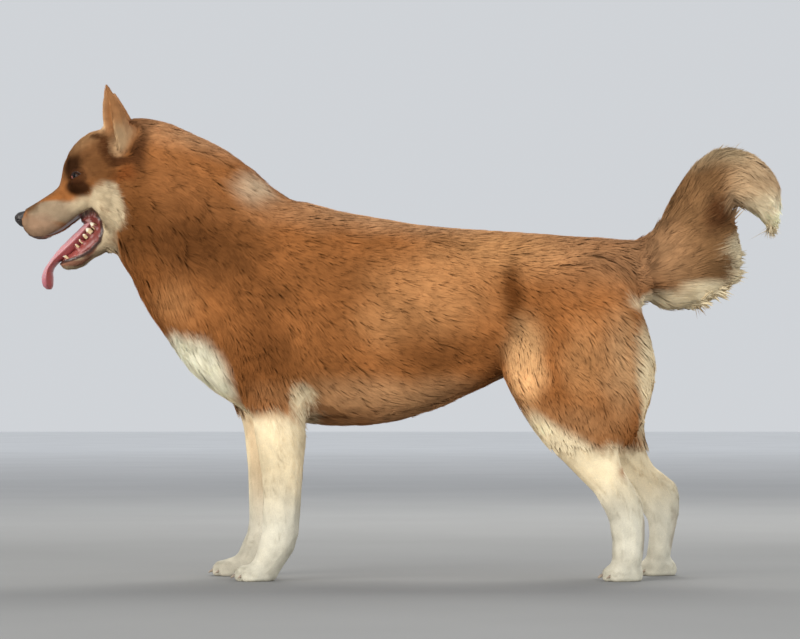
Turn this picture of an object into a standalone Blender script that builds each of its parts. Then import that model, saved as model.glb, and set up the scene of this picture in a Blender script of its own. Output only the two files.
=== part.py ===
"""A standing Alaskan Malamute, life size, parted into the pieces that a person would name.

Units are metres with +Z up. The dog faces -X, so its left side is at -Y, and it stands on
four flats at z = 0. Each length of the body is a loft through slices: a slice joins two
points of the side outline and has a half width across the body. The lofts are fused into
one smooth body, and that body is then parted by thin cuts.
The tables are in millimetres from the floor and from the body's middle; MM converts them.
"""

import math

import bmesh
import bpy
from mathutils import Matrix, Vector
from mathutils.bvhtree import BVHTree

MM = 0.001

# Driving dimensions in millimetres, all with the coat.
CHEST = 141  # half width of the rib cage
NECK = 128  # half width of the neck ruff
HEAD = 84  # half width of the head across the cheeks
FORE_Y = 86  # distance of a foreleg from the middle plane
HIND_Y = 92  # distance of a hind leg from the middle plane
PAW = 39  # half width of a forepaw
TAIL = 62  # half width of the tail's plume
EYE_R = 12  # radius of an eyeball

GAP = 0.3  # the thin cut between two pieces
VOXEL = 4.5  # grain of the fused body
FINE_FACES = 7600  # triangles that set the grain of the head and paws
BODY_FACES = 3850  # triangles that the fused body keeps
EAR_ARC = 6  # sides of half an ear's oval
SIDES = (("left", -1), ("right", 1))

# Slices: (x, z) of the upper or front edge, (x, z) of the lower or rear edge, half width.
TRUNK = [
    ((-412, 467), (-412, 429), 0.16 * CHEST),  # point of the breastbone
    ((-392, 517), (-394, 403), 0.42 * CHEST),
    ((-360, 557), (-364, 361), 0.66 * CHEST),
    ((-310, 617), (-310, 316), 0.86 * CHEST),  # points of the shoulders
    ((-250, 651), (-250, 285), 0.96 * CHEST),
    ((-172, 660), (-172, 271), 1.00 * CHEST),  # withers and elbows
    ((-102, 642), (-102, 264), 1.00 * CHEST),
    ((-23, 628), (-23, 268), 0.99 * CHEST),  # deepest ribs
    ((56, 616), (56, 289), 0.94 * CHEST),
    ((126, 610), (126, 320), 0.87 * CHEST),  # last rib
    ((187, 606), (187, 350), 0.82 * CHEST),  # flank
    ((266, 602), (266, 369), 0.82 * CHEST),
    ((336, 597), (336, 402), 0.79 * CHEST),  # hips
    ((388, 593), (390, 439), 0.68 * CHEST),
    ((424, 589), (428, 479), 0.46 * CHEST),  # buttocks
    ((440, 565), (444, 513), 0.18 * CHEST),
]
NECK_SLICES = [
    ((-500, 769), (-500, 629), 0.50 * NECK),
    ((-480, 803), (-488, 577), 0.67 * NECK),  # behind the ears
    ((-448, 807), (-486, 558), 0.77 * NECK),
    ((-390, 794), (-467, 520), 0.89 * NECK),
    ((-320, 761), (-447, 479), 0.97 * NECK),
    ((-259, 721), (-426, 445), 1.00 * NECK),
    ((-214, 679), (-400, 411), 1.02 * NECK),  # foot of the ruff
    ((-160, 645), (-350, 362), 0.98 * NECK),
    ((-110, 617), (-300, 347), 0.80 * NECK),
]
MUZZLE_SLICES = [
    ((-659, 638), (-658, 614), 0.22 * HEAD),  # behind the nose pad
    ((-650, 647), (-649, 601), 0.37 * HEAD),
    ((-636, 655), (-634, 592), 0.45 * HEAD),  # canine teeth
    ((-619, 666), (-612, 593), 0.49 * HEAD),
    ((-604, 676), (-592, 600), 0.52 * HEAD),
    ((-588, 688), (-570, 616), 0.56 * HEAD),
    ((-562, 704), (-545, 634), 0.61 * HEAD),
    ((-536, 716), (-520, 640), 0.66 * HEAD),
]
SKULL_SLICES = [
    ((-594, 686), (-578, 650), 0.30 * HEAD),  # stop
    ((-590, 702), (-560, 646), 0.50 * HEAD),
    ((-586, 723), (-543, 636), 0.67 * HEAD),  # brow
    ((-572, 753), (-522, 630), 0.80 * HEAD),
    ((-550, 775), (-500, 607), 0.92 * HEAD),  # cheekbones
    ((-520, 789), (-486, 579), 1.00 * HEAD),
    ((-482, 801), (-470, 573), 0.98 * HEAD),
    ((-440, 797), (-440, 587), 0.80 * HEAD),
]
JAW_SLICES = [
    ((-595, 550), (-589, 541), 0.18 * HEAD),  # chin
    ((-584, 559), (-577, 537), 0.29 * HEAD),
    ((-565, 575), (-554, 541), 0.33 * HEAD),
    ((-547, 593), (-534, 555), 0.38 * HEAD),
    ((-531, 612), (-511, 566), 0.46 * HEAD),
    ((-516, 631), (-492, 572), 0.58 * HEAD),  # corner of the mouth
    ((-495, 657), (-476, 580), 0.72 * HEAD),
]
TONGUE_SLICES = [
    ((-534, 631), (-525, 621), 14),
    ((-545, 624), (-534, 609), 19),
    ((-560, 609), (-550, 594), 21),
    ((-577, 593), (-566, 578), 18),
    ((-594, 576), (-582, 563), 16),  # between the lower canine teeth
    ((-607, 558), (-595, 549), 21),
    ((-618, 541), (-603, 537), 24),
    ((-624, 525), (-604, 524), 24),
    ((-622, 512), (-603, 512), 18),
    ((-616, 505), (-606, 505), 9),  # tip
]
TAIL_SLICES = [
    ((384, 577), (390, 497), 0.45 * TAIL),  # root, inside the croup
    ((424, 595), (428, 485), 0.72 * TAIL),
    ((449, 613), (478, 464), 0.86 * TAIL),
    ((465, 645), (535, 477), 0.95 * TAIL),  # feathers under the tail
    ((482, 675), (591, 521), 1.00 * TAIL),
    ((498, 699), (598, 585), 1.00 * TAIL),
    ((521, 727), (582, 633), 1.00 * TAIL),  # turn of the hook
    ((556, 751), (586, 651), 1.00 * TAIL),
    ((603, 749), (604, 647), 1.00 * TAIL),
    ((641, 727), (624, 635), 0.92 * TAIL),
    ((668, 689), (642, 619), 0.74 * TAIL),
    ((668, 639), (652, 607), 0.36 * TAIL),  # tip of the plume
]
LEFT_FORELEG = [
    ((-268, 417), (-160, 417), 30),
    ((-276, 364), (-152, 364), 42),  # upper arm
    ((-270, 313), (-146, 313), 44),  # elbow
    ((-257, 285), (-152, 285), 41),
    ((-251, 261), (-153, 261), 39),
    ((-245, 226), (-155, 226), 36),
    ((-239, 192), (-159, 192), 33),
    ((-236, 157), (-162, 157), 31),
    ((-235, 123), (-165, 123), 30),
    ((-236, 88), (-167, 88), 31),  # wrist
    ((-243, 56), (-175, 56), 33),
    ((-251, 31), (-192, 29), 33),
    ((-258, 6), (-206, 6), 29),
]
RIGHT_FORELEG = [
    ((-292, 417), (-182, 417), 30),
    ((-302, 361), (-178, 361), 42),
    ((-296, 309), (-173, 309), 44),
    ((-283, 281), (-180, 281), 41),
    ((-277, 255), (-183, 255), 39),
    ((-272, 219), (-187, 219), 36),
    ((-269, 177), (-192, 177), 33),
    ((-268, 130), (-198, 130), 30),
    ((-267, 90), (-199, 90), 31),
    ((-278, 56), (-208, 56), 33),
    ((-290, 31), (-226, 29), 33),
    ((-298, 6), (-242, 6), 29),
]
LEFT_HIND_LEG = [
    ((262, 547), (372, 547), 26),
    ((240, 503), (408, 503), 40),  # hip
    ((208, 450), (428, 450), 50),
    ((182, 399), (443, 399), 54),  # thigh and breeches
    ((178, 355), (445, 355), 53),
    ((197, 313), (435, 313), 48),  # knee
    ((219, 277), (424, 277), 42),
    ((237, 251), (410, 251), 37),
    ((259, 225), (386, 225), 33),
    ((283, 200), (388, 200), 30),
    ((309, 174), (403, 174), 28),
    ((334, 149), (417, 149), 27),  # hock
    ((347, 129), (424, 129), 27),
    ((359, 102), (427, 102), 26),
    ((365, 68), (426, 68), 27),
    ((366, 34), (421, 34), 31),
    ((368, 6), (412, 6), 27),
]
RIGHT_HIND_LEG = [
    ((272, 547), (384, 547), 26),
    ((248, 503), (422, 503), 40),
    ((218, 447), (440, 447), 50),
    ((208, 397), (452, 397), 54),
    ((214, 353), (455, 353), 53),
    ((238, 309), (448, 309), 48),
    ((278, 267), (438, 267), 41),
    ((322, 231), (444, 225), 35),
    ((362, 203), (458, 197), 31),
    ((386, 177), (482, 177), 28),
    ((404, 153), (500, 157), 27),
    ((422, 127), (503, 129), 27),
    ((440, 98), (499, 98), 26),
    ((443, 66), (492, 66), 27),
    ((440, 34), (485, 34), 31),
    ((438, 6), (476, 6), 27),
]

# Rounded masses that the lofts don't give: centre (x, y, z), radii and pitch in degrees.
HEAD_MASSES = [
    ((-560, 34, 726), (24, 20, 13), -35),  # brow over the eye
    ((-544, 48, 688), (34, 20, 16), -20),  # cheekbone
    ((-484, 52, 660), (44, 31, 58), 0),  # cheek ruff
    ((-624, 24, 612), (27, 15, 20), -10),  # whisker pad
    ((-490, 48, 746), (36, 27, 26), 0),  # bed of the ear
]
BODY_MASSES = [
    ((-232, 92, 457), (66, 46, 140), 14),  # shoulder blade
    ((-212, 96, 352), (66, 40, 56), 30),  # upper arm
    ((-160, FORE_Y, 309), (18, 26, 20), 0),  # point of the elbow
    ((330, 84, 487), (90, 40, 80), 20),  # rump
]

# The ear's levels: z, then (x, y) of its inner edge and its outer edge, its depth, its wall.
EAR_LEVELS = [
    (738, -505, 34, -480, 88, 40, 12),
    (770, -513, 35, -487, 94, 44, 11),
    (800, -516, 41, -493, 97, 38, 9),
    (824, -515, 51, -499, 95, 27, 7),
    (843, -511, 62, -504, 89, 15, 5),
    (857, -507, 72, -506, 82, 4, 2.4),
]
EYE = (-541, 42, 697)  # where an eye looks out of the face
EYE_LOOK = (-0.62, 0.76, 0.08)
EYE_BULGE = 4  # how far an eyeball stands out of the face
EYE_SEARCH = 60  # how far out of the face the line of sight is followed
NOSE = (-656, 0, 629)
NOSE_RADII = (14, 18, 14)
NOSE_PITCH = -12
NOSTRIL = (-667, 7, 630)
NOSTRIL_RADII = (8, 4.5, 4)
NOSTRIL_YAW = 35  # the nostrils open outwards by this angle

# A paw: its pad, then its toes by their place across the paw and how far each is set back.
PAD_BACK = 46  # from the tips of the middle toes to the middle of the pad
PAD_RADII = (32, 0.84, 22)  # the middle number is a share of the paw's half width
TOES = ((-0.66, 13), (-0.24, 0), (0.24, 0), (0.66, 13))
TOE_RADII = (22, 0.33, 17)
TOE_PITCH = -12
TOE_Z = 13
CLAW_LENGTH = 16
CLAW_R = 3.4
CLAW_SLOPE = -108
CLAW_BACK = 5  # from a toe's tip back to the middle of its claw
CLAW_Z = 8

# The lower teeth of one side: place along the jaw from its corner, half width, radius, height.
TOOTH_ROW = ((-529, 616), (-584, 556))
TOOTH_ROOT = 6  # how much of a tooth is sunk in the jaw
TEETH = (
    (0.02, 31, 5.5, 12),
    (0.24, 28, 5.5, 11),
    (0.44, 25, 4.5, 9),
    (0.62, 23, 4, 8),
    (0.96, 21, 4, 15),  # canine tooth
)

# Where the solids keep their fine shape: in front of this x and above this z, and on the paws.
FACE_X = -488
FACE_Z = 500
PAW_TOP = 62

# Where the body is parted: the box's corner (x, z), its length, width and height, its pitch.
PARTINGS = [
    ("lower_jaw", (-526, 628), (130, 104, 80), 152),
    ("head", (-453, 837), (260, 400, 330), 188),
    ("neck", (-194, 691), (420, 400, 380), 225.9),
    ("tail_plume", (639, 549), (200, 300, 240), -39.7),
    ("tail_base", (448, 455), (300, 150, 400), -10),
]
# The same for the lengths of a leg, from the top: each is parted off the one before.
LEG_INNER = 34  # distance of a leg's inner wall from the middle plane
LEG_ROOM = 140  # width of a leg's box
FLOOR_BOX = (1400, 600, 60)
FORELEG_PARTINGS = [
    ("leg", (-120, 279), (260, 330), 190.5),
    ("paw", (-100, 72), (300, 90), 180),
]
HIND_LEG_PARTINGS = [
    ("_thigh", (479, 475), (360, 520), 161.7),
    ("_shank", (560, 247), (420, 260), 180),
    ("_paw", (560, 62), (300, 80), 180),
]

COAT_RED = (0.36, 0.14, 0.045, 1.0)
COAT_CREAM = (0.74, 0.63, 0.44, 1.0)
NOSE_LIVER = (0.05, 0.03, 0.028, 1.0)
TONGUE_PINK = (0.72, 0.27, 0.29, 1.0)
EYE_BROWN = (0.035, 0.015, 0.006, 1.0)
CLAW_HORN = (0.34, 0.26, 0.19, 1.0)


def clear_scene():
    for item in list(bpy.data.objects):
        bpy.data.objects.remove(item)


def collection_named(name, hidden=False):
    made = bpy.data.collections.new(name)
    bpy.context.scene.collection.children.link(made)
    made.hide_render = hidden
    return made


def material(name, colour, roughness):
    made = bpy.data.materials.new(name)
    made.use_nodes = True
    shader = made.node_tree.nodes["Principled BSDF"]
    shader.inputs["Base Color"].default_value = colour
    shader.inputs["Roughness"].default_value = roughness
    shader.inputs["Metallic"].default_value = 0.0
    return made


def object_of(name, mesh, collection):
    made = bpy.data.objects.new(name, mesh)
    collection.objects.link(made)
    return made


def bake(item):
    """Replaces the object's mesh by what its modifiers make of it."""
    bpy.context.view_layer.update()
    graph = bpy.context.evaluated_depsgraph_get()
    mesh = bpy.data.meshes.new_from_object(item.evaluated_get(graph))
    item.modifiers.clear()
    item.data = mesh
    return item


def curve_through(rows, steps):
    """Catmull-Rom points through rows of numbers, with steps points for each span."""
    ends = [rows[0]] + rows + [rows[-1]]
    points = []
    for p, q, r, s in zip(ends, ends[1:], ends[2:], ends[3:]):
        for step in range(steps):
            t = step / steps
            points.append(
                [
                    0.5 * (2 * b + (c - a) * t + (2 * a - 5 * b + 4 * c - d) * t * t
                           + (3 * b - a - 3 * c + d) * t ** 3)
                    for a, b, c, d in zip(p, q, r, s)
                ]
            )
    return points + [rows[-1]]


def ring_of(row, middle, fullness, narrow, sides):
    """The points round one slice. Fullness over 2 squares the oval, and a positive narrow
    makes its upper or front end the slimmer one."""
    ax, az, bx, bz, half = row
    centre = Vector(((ax + bx) / 2, middle, (az + bz) / 2))
    reach = Vector(((ax - bx) / 2, 0, (az - bz) / 2))
    ring = []
    for k in range(sides):
        angle = math.tau * k / sides
        along = math.copysign(abs(math.cos(angle)) ** (2 / fullness), math.cos(angle))
        across = math.copysign(abs(math.sin(angle)) ** (2 / fullness), math.sin(angle))
        width = half * across * (1 - narrow * along)
        ring.append((centre + reach * along + Vector((0, width, 0))) * MM)
    return ring


def add_loft(bm, slices, middle=0, fullness=2.2, narrow=0.0, sides=28, steps=4):
    """Adds a closed loft through the slices to the bmesh."""
    rows = curve_through([[*a, *b, half] for a, b, half in slices], steps)
    rings = [
        [bm.verts.new(point) for point in ring_of(row, middle, fullness, narrow, sides)]
        for row in rows
    ]
    faces = [bm.faces.new(rings[0]), bm.faces.new(rings[-1])]
    for one, two in zip(rings, rings[1:]):
        for k in range(sides):
            n = (k + 1) % sides
            faces.append(bm.faces.new((one[k], one[n], two[n], two[k])))
    bmesh.ops.recalc_face_normals(bm, faces=faces)


def add_ball(bm, centre, radii, pitch=0, yaw=0, segments=24):
    """Adds an ellipsoid, tipped by pitch about Y and then turned by yaw about Z."""
    place = Matrix.Translation(Vector(centre) * MM)
    place = place @ Matrix.Rotation(math.radians(yaw), 4, "Z")
    place = place @ Matrix.Rotation(math.radians(pitch), 4, "Y")
    place = place @ Matrix.Diagonal((*(r * MM for r in radii), 1))
    bmesh.ops.create_uvsphere(
        bm, u_segments=segments, v_segments=segments // 2, radius=1, matrix=place
    )


def toes(toe_x, middle, half):
    """(x, y) of the tips of a paw's four toes, of which the middle two end at toe_x."""
    return [(toe_x + back, middle + across * half) for across, back in TOES]


def add_paw(bm, toe_x, middle, half):
    """Adds the pad and four toes of a paw whose middle toes end at toe_x."""
    length, across, height = PAD_RADII
    add_ball(bm, (toe_x + PAD_BACK, middle, TOE_Z), (length, half * across, height))
    length, across, height = TOE_RADII
    for x, y in toes(toe_x, middle, half):
        radii = (length, half * across, height)
        add_ball(bm, (x + length, y, TOE_Z), radii, TOE_PITCH, segments=16)


def mesh_from(bm, name):
    mesh = bpy.data.meshes.new(name)
    bm.to_mesh(mesh)
    bm.free()
    return mesh


def legs():
    """(name, slices, middle, toe x, half width of the paw) of each leg."""
    return [
        ("left_fore", LEFT_FORELEG, -FORE_Y, -285, PAW),
        ("right_fore", RIGHT_FORELEG, FORE_Y, -333, PAW),
        ("left_hind", LEFT_HIND_LEG, -HIND_Y, 346, 0.92 * PAW),
        ("right_hind", RIGHT_HIND_LEG, HIND_Y, 420, 0.92 * PAW),
    ]


def is_detailed(point):
    """Whether a point lies on the head or a paw, where the solids keep their fine shape."""
    on_face = point.x < FACE_X * MM and point.z > FACE_Z * MM
    return on_face or point.z < PAW_TOP * MM


def lighten(item, faces, keep_details=False):
    """Collapses the mesh to about that many triangles. It can leave the fine parts alone."""
    item.data.calc_loop_triangles()
    decimate = item.modifiers.new("lighten", "DECIMATE")
    decimate.ratio = faces / len(item.data.loop_triangles)
    if keep_details:
        group = item.vertex_groups.new(name="coarse")
        coarse = [v.index for v in item.data.vertices if not is_detailed(v.co)]
        group.add(coarse, 1.0, "REPLACE")
        decimate.vertex_group = group.name
    bake(item)
    item.vertex_groups.clear()


def fused_body(collection):
    """The whole dog but its ears, eyes, nose pad, tongue and claws, as one smooth mesh."""
    bm = bmesh.new()
    add_loft(bm, TRUNK, fullness=2.25, narrow=0.10)
    add_loft(bm, NECK_SLICES, fullness=2.15, narrow=0.12)
    add_loft(bm, MUZZLE_SLICES, fullness=2.8, narrow=0.16)
    add_loft(bm, SKULL_SLICES, fullness=2.5, narrow=0.06)
    add_loft(bm, JAW_SLICES, fullness=2.4)
    add_loft(bm, TAIL_SLICES, fullness=2.0, narrow=-0.05)
    for _, slices, middle, toe_x, half in legs():
        add_loft(bm, slices, middle=middle)
        add_paw(bm, toe_x, middle, half)
    for _, side in SIDES:
        for (x, y, z), radii, pitch in HEAD_MASSES + BODY_MASSES:
            add_ball(bm, (x, side * y, z), radii, pitch)
    body = object_of("trunk", mesh_from(bm, "body"), collection)
    remesh = body.modifiers.new("fuse", "REMESH")
    remesh.mode = "VOXEL"
    remesh.voxel_size = VOXEL * MM
    smooth = body.modifiers.new("blend", "SMOOTH")
    smooth.factor = 0.5
    smooth.iterations = 8
    bake(body)
    lighten(body, FINE_FACES)
    lighten(body, BODY_FACES, keep_details=True)
    return body


def as_cutter(item):
    item.hide_render = True
    item.display_type = "WIRE"
    return item


def cut(item, cutter, operation="DIFFERENCE"):
    modifier = item.modifiers.new("cut", "BOOLEAN")
    modifier.operation = operation
    modifier.object = cutter
    return bake(item)


def grown(item, cutters):
    """A copy of a piece that is larger all round by the gap, to cut its neighbour clear of it."""
    copy = as_cutter(object_of(item.name + "_room", item.data.copy(), cutters))
    displace = copy.modifiers.new("gap", "DISPLACE")
    displace.mid_level = 0
    displace.strength = GAP * MM
    return bake(copy)


def box(name, corner, size, pitch, collection):
    """A box that reaches from its corner along its own X and Z, tipped by pitch about Y.
    Its Y range is centred on the corner."""
    bm = bmesh.new()
    bmesh.ops.create_cube(bm, size=1)
    bmesh.ops.translate(bm, verts=bm.verts, vec=(0.5, 0, 0.5))
    bmesh.ops.scale(bm, verts=bm.verts, vec=Vector(size) * MM)
    turn = Matrix.Rotation(math.radians(pitch), 4, "Y")
    bmesh.ops.transform(bm, verts=bm.verts, matrix=Matrix.Translation(Vector(corner) * MM) @ turn)
    return as_cutter(object_of(name, mesh_from(bm, name), collection))


def part_off(body, name, corner, size, pitch, parts, cutters):
    """Takes what lies in the box off the body as a piece of its own, with a thin cut between."""
    outer = box(name + "_cut", corner, size, pitch, cutters)
    turn = Matrix.Rotation(math.radians(pitch), 3, "Y")
    inset = Vector(corner) + turn @ Vector((GAP, 0, GAP))
    inner = box(name + "_keep", inset, Vector(size) - Vector((2, 2, 2)) * GAP, pitch, cutters)
    piece = object_of(name, body.data.copy(), parts)
    cut(piece, inner, "INTERSECT")
    cut(body, outer)
    return piece


def ear(name, side, parts):
    """A cupped ear, open to the front and a little outwards. Each level is a crescent: half an
    oval behind the line from the ear's inner edge to its outer edge, and the same less the wall."""
    bm = bmesh.new()
    rings = []
    half_turn = [math.pi * k / EAR_ARC for k in range(EAR_ARC + 1)]
    for z, x0, y0, x1, y1, depth, wall in curve_through([list(level) for level in EAR_LEVELS], 2):
        inner, outer = Vector((x0, side * y0, z)), Vector((x1, side * y1, z))
        middle, along = (inner + outer) / 2, (outer - inner) / 2
        back = Vector((abs(along.y), -side * along.x, 0)).normalized()
        thin = 1 - wall / along.length
        ring = [middle + along * math.cos(a) + back * depth * math.sin(a) for a in half_turn]
        hollow = max(depth - wall, 0.4)
        ring += [
            middle + along * thin * math.cos(a) + back * hollow * math.sin(a)
            for a in reversed(half_turn)
        ]
        rings.append([bm.verts.new(point * MM) for point in ring])
    faces = [bm.faces.new(rings[0]), bm.faces.new(rings[-1])]
    count = len(rings[0])
    for one, two in zip(rings, rings[1:]):
        for k in range(count):
            n = (k + 1) % count
            faces.append(bm.faces.new((one[k], one[n], two[n], two[k])))
    bmesh.ops.recalc_face_normals(bm, faces=faces)
    bmesh.ops.triangulate(bm, faces=bm.faces)
    return object_of(name, mesh_from(bm, name), parts)


def ball_object(name, centre, radii, parts, pitch=0, yaw=0, segments=24):
    bm = bmesh.new()
    add_ball(bm, centre, radii, pitch, yaw, segments)
    return object_of(name, mesh_from(bm, name), parts)


def eye(name, side, body, parts):
    """An eyeball, set back from where its line of sight leaves the face."""
    look = Vector((EYE_LOOK[0], side * EYE_LOOK[1], EYE_LOOK[2])).normalized()
    aim = Vector((EYE[0], side * EYE[1], EYE[2])) * MM
    surface = BVHTree.FromPolygons(
        [v.co for v in body.data.vertices], [p.vertices for p in body.data.polygons]
    )
    hit = surface.ray_cast(aim + look * EYE_SEARCH * MM, -look)[0]
    centre = hit / MM - look * (EYE_R - EYE_BULGE)
    return ball_object(name, centre, (EYE_R,) * 3, parts, segments=14)


def nose_pad(parts, cutters):
    """The nose leather, with two nostrils."""
    nose = ball_object("nose", NOSE, NOSE_RADII, parts, NOSE_PITCH, segments=16)
    for name, side in SIDES:
        place = (NOSTRIL[0], side * NOSTRIL[1], NOSTRIL[2])
        yaw = -side * NOSTRIL_YAW
        hole = ball_object(name + "_nostril", place, NOSTRIL_RADII, cutters, yaw=yaw, segments=8)
        cut(nose, as_cutter(hole))
    return nose


def tongue(parts):
    """The tongue, which hangs over the chin between the canine teeth."""
    bm = bmesh.new()
    add_loft(bm, TONGUE_SLICES, fullness=2.3, sides=14, steps=1)
    return object_of("tongue", mesh_from(bm, "tongue"), parts)


def claws(parts):
    """Four claws on each paw, which slope down from the toes to just over the floor."""
    made = []
    for leg, _, middle, toe_x, half in legs():
        for number, (x, y) in enumerate(toes(toe_x, middle, half), 1):
            bm = bmesh.new()
            place = Matrix.Translation(Vector((x + CLAW_BACK, y, CLAW_Z)) * MM)
            place = place @ Matrix.Rotation(math.radians(CLAW_SLOPE), 4, "Y")
            bmesh.ops.create_cone(
                bm, cap_ends=True, segments=6, radius1=CLAW_R * MM, radius2=0.3 * CLAW_R * MM,
                depth=CLAW_LENGTH * MM, matrix=place,
            )
            made.append(object_of(f"{leg}_claw_{number}", mesh_from(bm, leg), parts))
    return made


def add_teeth(jaw, cutters):
    """Joins the lower teeth to the jaw."""
    (x0, z0), (x1, z1) = TOOTH_ROW
    out = Vector((z1 - z0, 0, x0 - x1)).normalized()
    turn = Vector((0, 0, 1)).rotation_difference(out).to_matrix().to_4x4()
    for name, side in SIDES:
        for share, y, radius, height in TEETH:
            foot = Vector((x0 + share * (x1 - x0), side * y, z0 + share * (z1 - z0)))
            place = Matrix.Translation((foot + out * (height - TOOTH_ROOT) / 2) * MM) @ turn
            bm = bmesh.new()
            bmesh.ops.create_cone(
                bm, cap_ends=True, segments=6, radius1=radius * MM, radius2=0.35 * radius * MM,
                depth=(height + TOOTH_ROOT) * MM, matrix=place,
            )
            cut(jaw, as_cutter(object_of(name + "_tooth", mesh_from(bm, name), cutters)), "UNION")


def part_body(body, parts, cutters):
    """Parts the head, neck and tail off the trunk, then each leg and its lengths."""
    for name, (x, z), (length, width, height), pitch in PARTINGS:
        part_off(body, name, (x, 0, z), (length, width, height), pitch, parts, cutters)
    for name, side in SIDES:
        for limb, lengths in (("fore", FORELEG_PARTINGS), ("hind", HIND_LEG_PARTINGS)):
            whole = body
            for length_name, (x, z), (length, height), pitch in lengths:
                corner = (x, side * (LEG_INNER + LEG_ROOM / 2), z)
                size = (length, LEG_ROOM, height)
                full_name = f"{name}_{limb}{length_name}"
                whole = part_off(whole, full_name, corner, size, pitch, parts, cutters)


def paint(parts):
    """Gives each piece a material of its own."""
    kinds = {
        "nose": (NOSE_LIVER, 0.35),
        "tongue": (TONGUE_PINK, 0.3),
        "eye": (EYE_BROWN, 0.08),
        "claw": (CLAW_HORN, 0.4),
        "jaw": (COAT_CREAM, 0.8),
        "paw": (COAT_CREAM, 0.8),
        "foreleg": (COAT_CREAM, 0.8),
        "shank": (COAT_CREAM, 0.8),
    }
    for item in parts.objects:
        colour, roughness = next((kinds[k] for k in kinds if k in item.name), (COAT_RED, 0.8))
        item.data.materials.clear()
        item.data.materials.append(material(item.name + "_finish", colour, roughness))


def centre_on_floor(parts, cutters):
    """Moves everything level, so that the origin is under the middle of the dog's box."""
    points = [v.co for item in parts.objects for v in item.data.vertices]
    middle = [(min(p[k] for p in points) + max(p[k] for p in points)) / 2 for k in range(2)]
    shift = Matrix.Translation((-middle[0], -middle[1], 0))
    for item in list(parts.objects) + list(cutters.objects):
        item.data.transform(shift)


def main():
    clear_scene()
    parts = collection_named("malamute")
    cutters = collection_named("cutters", hidden=True)
    body = fused_body(parts)
    cut(body, box("floor", (FLOOR_BOX[0] / 2, 0, 0), FLOOR_BOX, 180, cutters))
    room_for_ears = grown(body, cutters)
    for name, side in SIDES:
        cut(ear(name + "_ear", side, parts), room_for_ears)
        cut(body, grown(eye(name + "_eye", side, body, parts), cutters))
    for piece in [nose_pad(parts, cutters), tongue(parts)] + claws(parts):
        cut(body, grown(piece, cutters))
    part_body(body, parts, cutters)
    add_teeth(parts.objects["lower_jaw"], cutters)
    paint(parts)
    centre_on_floor(parts, cutters)


main()
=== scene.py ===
"""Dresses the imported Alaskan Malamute: one skin, a coat of mesh tufts, eyes, nose, mouth and claws.

Lengths in the tables are millimetres in the model's own frame: the dog faces -X, its left side
is at -Y and it stands on z = 0. Tables give y as a distance from the middle plane, and both
sides share them. Every random draw is seeded, so each run gives the same dog.
"""

import math
from collections import namedtuple

import bmesh
import bpy
import numpy as np
from mathutils import Matrix, Vector
from mathutils.bvhtree import BVHTree
from mathutils.kdtree import KDTree


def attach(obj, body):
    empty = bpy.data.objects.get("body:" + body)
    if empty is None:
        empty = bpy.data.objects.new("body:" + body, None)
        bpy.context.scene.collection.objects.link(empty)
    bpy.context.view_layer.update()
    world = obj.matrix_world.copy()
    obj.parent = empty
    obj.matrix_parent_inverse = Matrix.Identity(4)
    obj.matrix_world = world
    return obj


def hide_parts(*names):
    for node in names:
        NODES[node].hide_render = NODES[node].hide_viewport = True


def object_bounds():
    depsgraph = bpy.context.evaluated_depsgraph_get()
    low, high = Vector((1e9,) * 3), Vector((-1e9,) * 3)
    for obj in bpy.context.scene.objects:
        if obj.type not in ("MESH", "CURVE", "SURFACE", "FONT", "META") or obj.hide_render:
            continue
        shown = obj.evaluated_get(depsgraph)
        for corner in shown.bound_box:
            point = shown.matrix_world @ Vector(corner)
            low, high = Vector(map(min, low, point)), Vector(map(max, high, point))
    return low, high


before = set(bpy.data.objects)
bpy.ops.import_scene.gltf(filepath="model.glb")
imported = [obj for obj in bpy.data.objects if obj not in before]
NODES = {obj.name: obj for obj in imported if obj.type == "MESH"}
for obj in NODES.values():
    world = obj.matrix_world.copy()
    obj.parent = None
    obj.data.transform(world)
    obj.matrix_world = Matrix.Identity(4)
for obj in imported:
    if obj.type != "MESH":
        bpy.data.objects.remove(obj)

MM = 0.001
CAD_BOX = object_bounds()
SIDES = (("left", -1), ("right", 1))
COLOUR = "coat_colour"  # the point attribute that every painted piece has
rng = np.random.default_rng(11)

# Colours, as linear light.
RED = (0.300, 0.112, 0.033)
DEEP = (0.150, 0.052, 0.014)
DARK = (0.070, 0.024, 0.008)
ORANGE = (0.36, 0.125, 0.032)
GOLD = (0.56, 0.285, 0.115)
TAN = (0.50, 0.275, 0.135)
PALE = (0.60, 0.43, 0.25)
CREAM = (0.80, 0.67, 0.44)
FACE_CREAM = (0.56, 0.45, 0.29)
LEG_WHITE = (0.56, 0.545, 0.46)
TAIL_BROWN = (0.225, 0.118, 0.050)
EAR_BROWN = (0.37, 0.175, 0.070)
LIP = (0.055, 0.026, 0.020)
GUM = (0.30, 0.068, 0.056)
MOUTH_SHADE = (0.10, 0.024, 0.020)

# ---------------------------------------------------------------- small tools


def smooth(low, high, x):
    """0 at low, 1 at high, and an S-curve between them."""
    t = np.clip((x - low) / (high - low), 0, 1)
    return t * t * (3 - 2 * t)


def unit(rows):
    return rows / np.maximum(np.linalg.norm(rows, axis=1, keepdims=True), 1e-12)


def waves(points, size, seed, count=22):
    """Smooth noise of about -1 to 1 whose lumps are about that size."""
    draw = np.random.default_rng(seed)
    turns = draw.normal(size=(count, 3)) * (1.6 / size)
    phases = draw.uniform(0, math.tau, count)
    return np.sin(points @ turns.T + phases).sum(1) / math.sqrt(count * 1.6)


def link(name, mesh):
    made = bpy.data.objects.new(name, mesh)
    bpy.context.scene.collection.objects.link(made)
    return made


def baked(item):
    """The mesh that the object's modifiers make. The object is removed."""
    bpy.context.view_layer.update()
    graph = bpy.context.evaluated_depsgraph_get()
    mesh = bpy.data.meshes.new_from_object(item.evaluated_get(graph))
    bpy.data.objects.remove(item)
    return mesh


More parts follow.
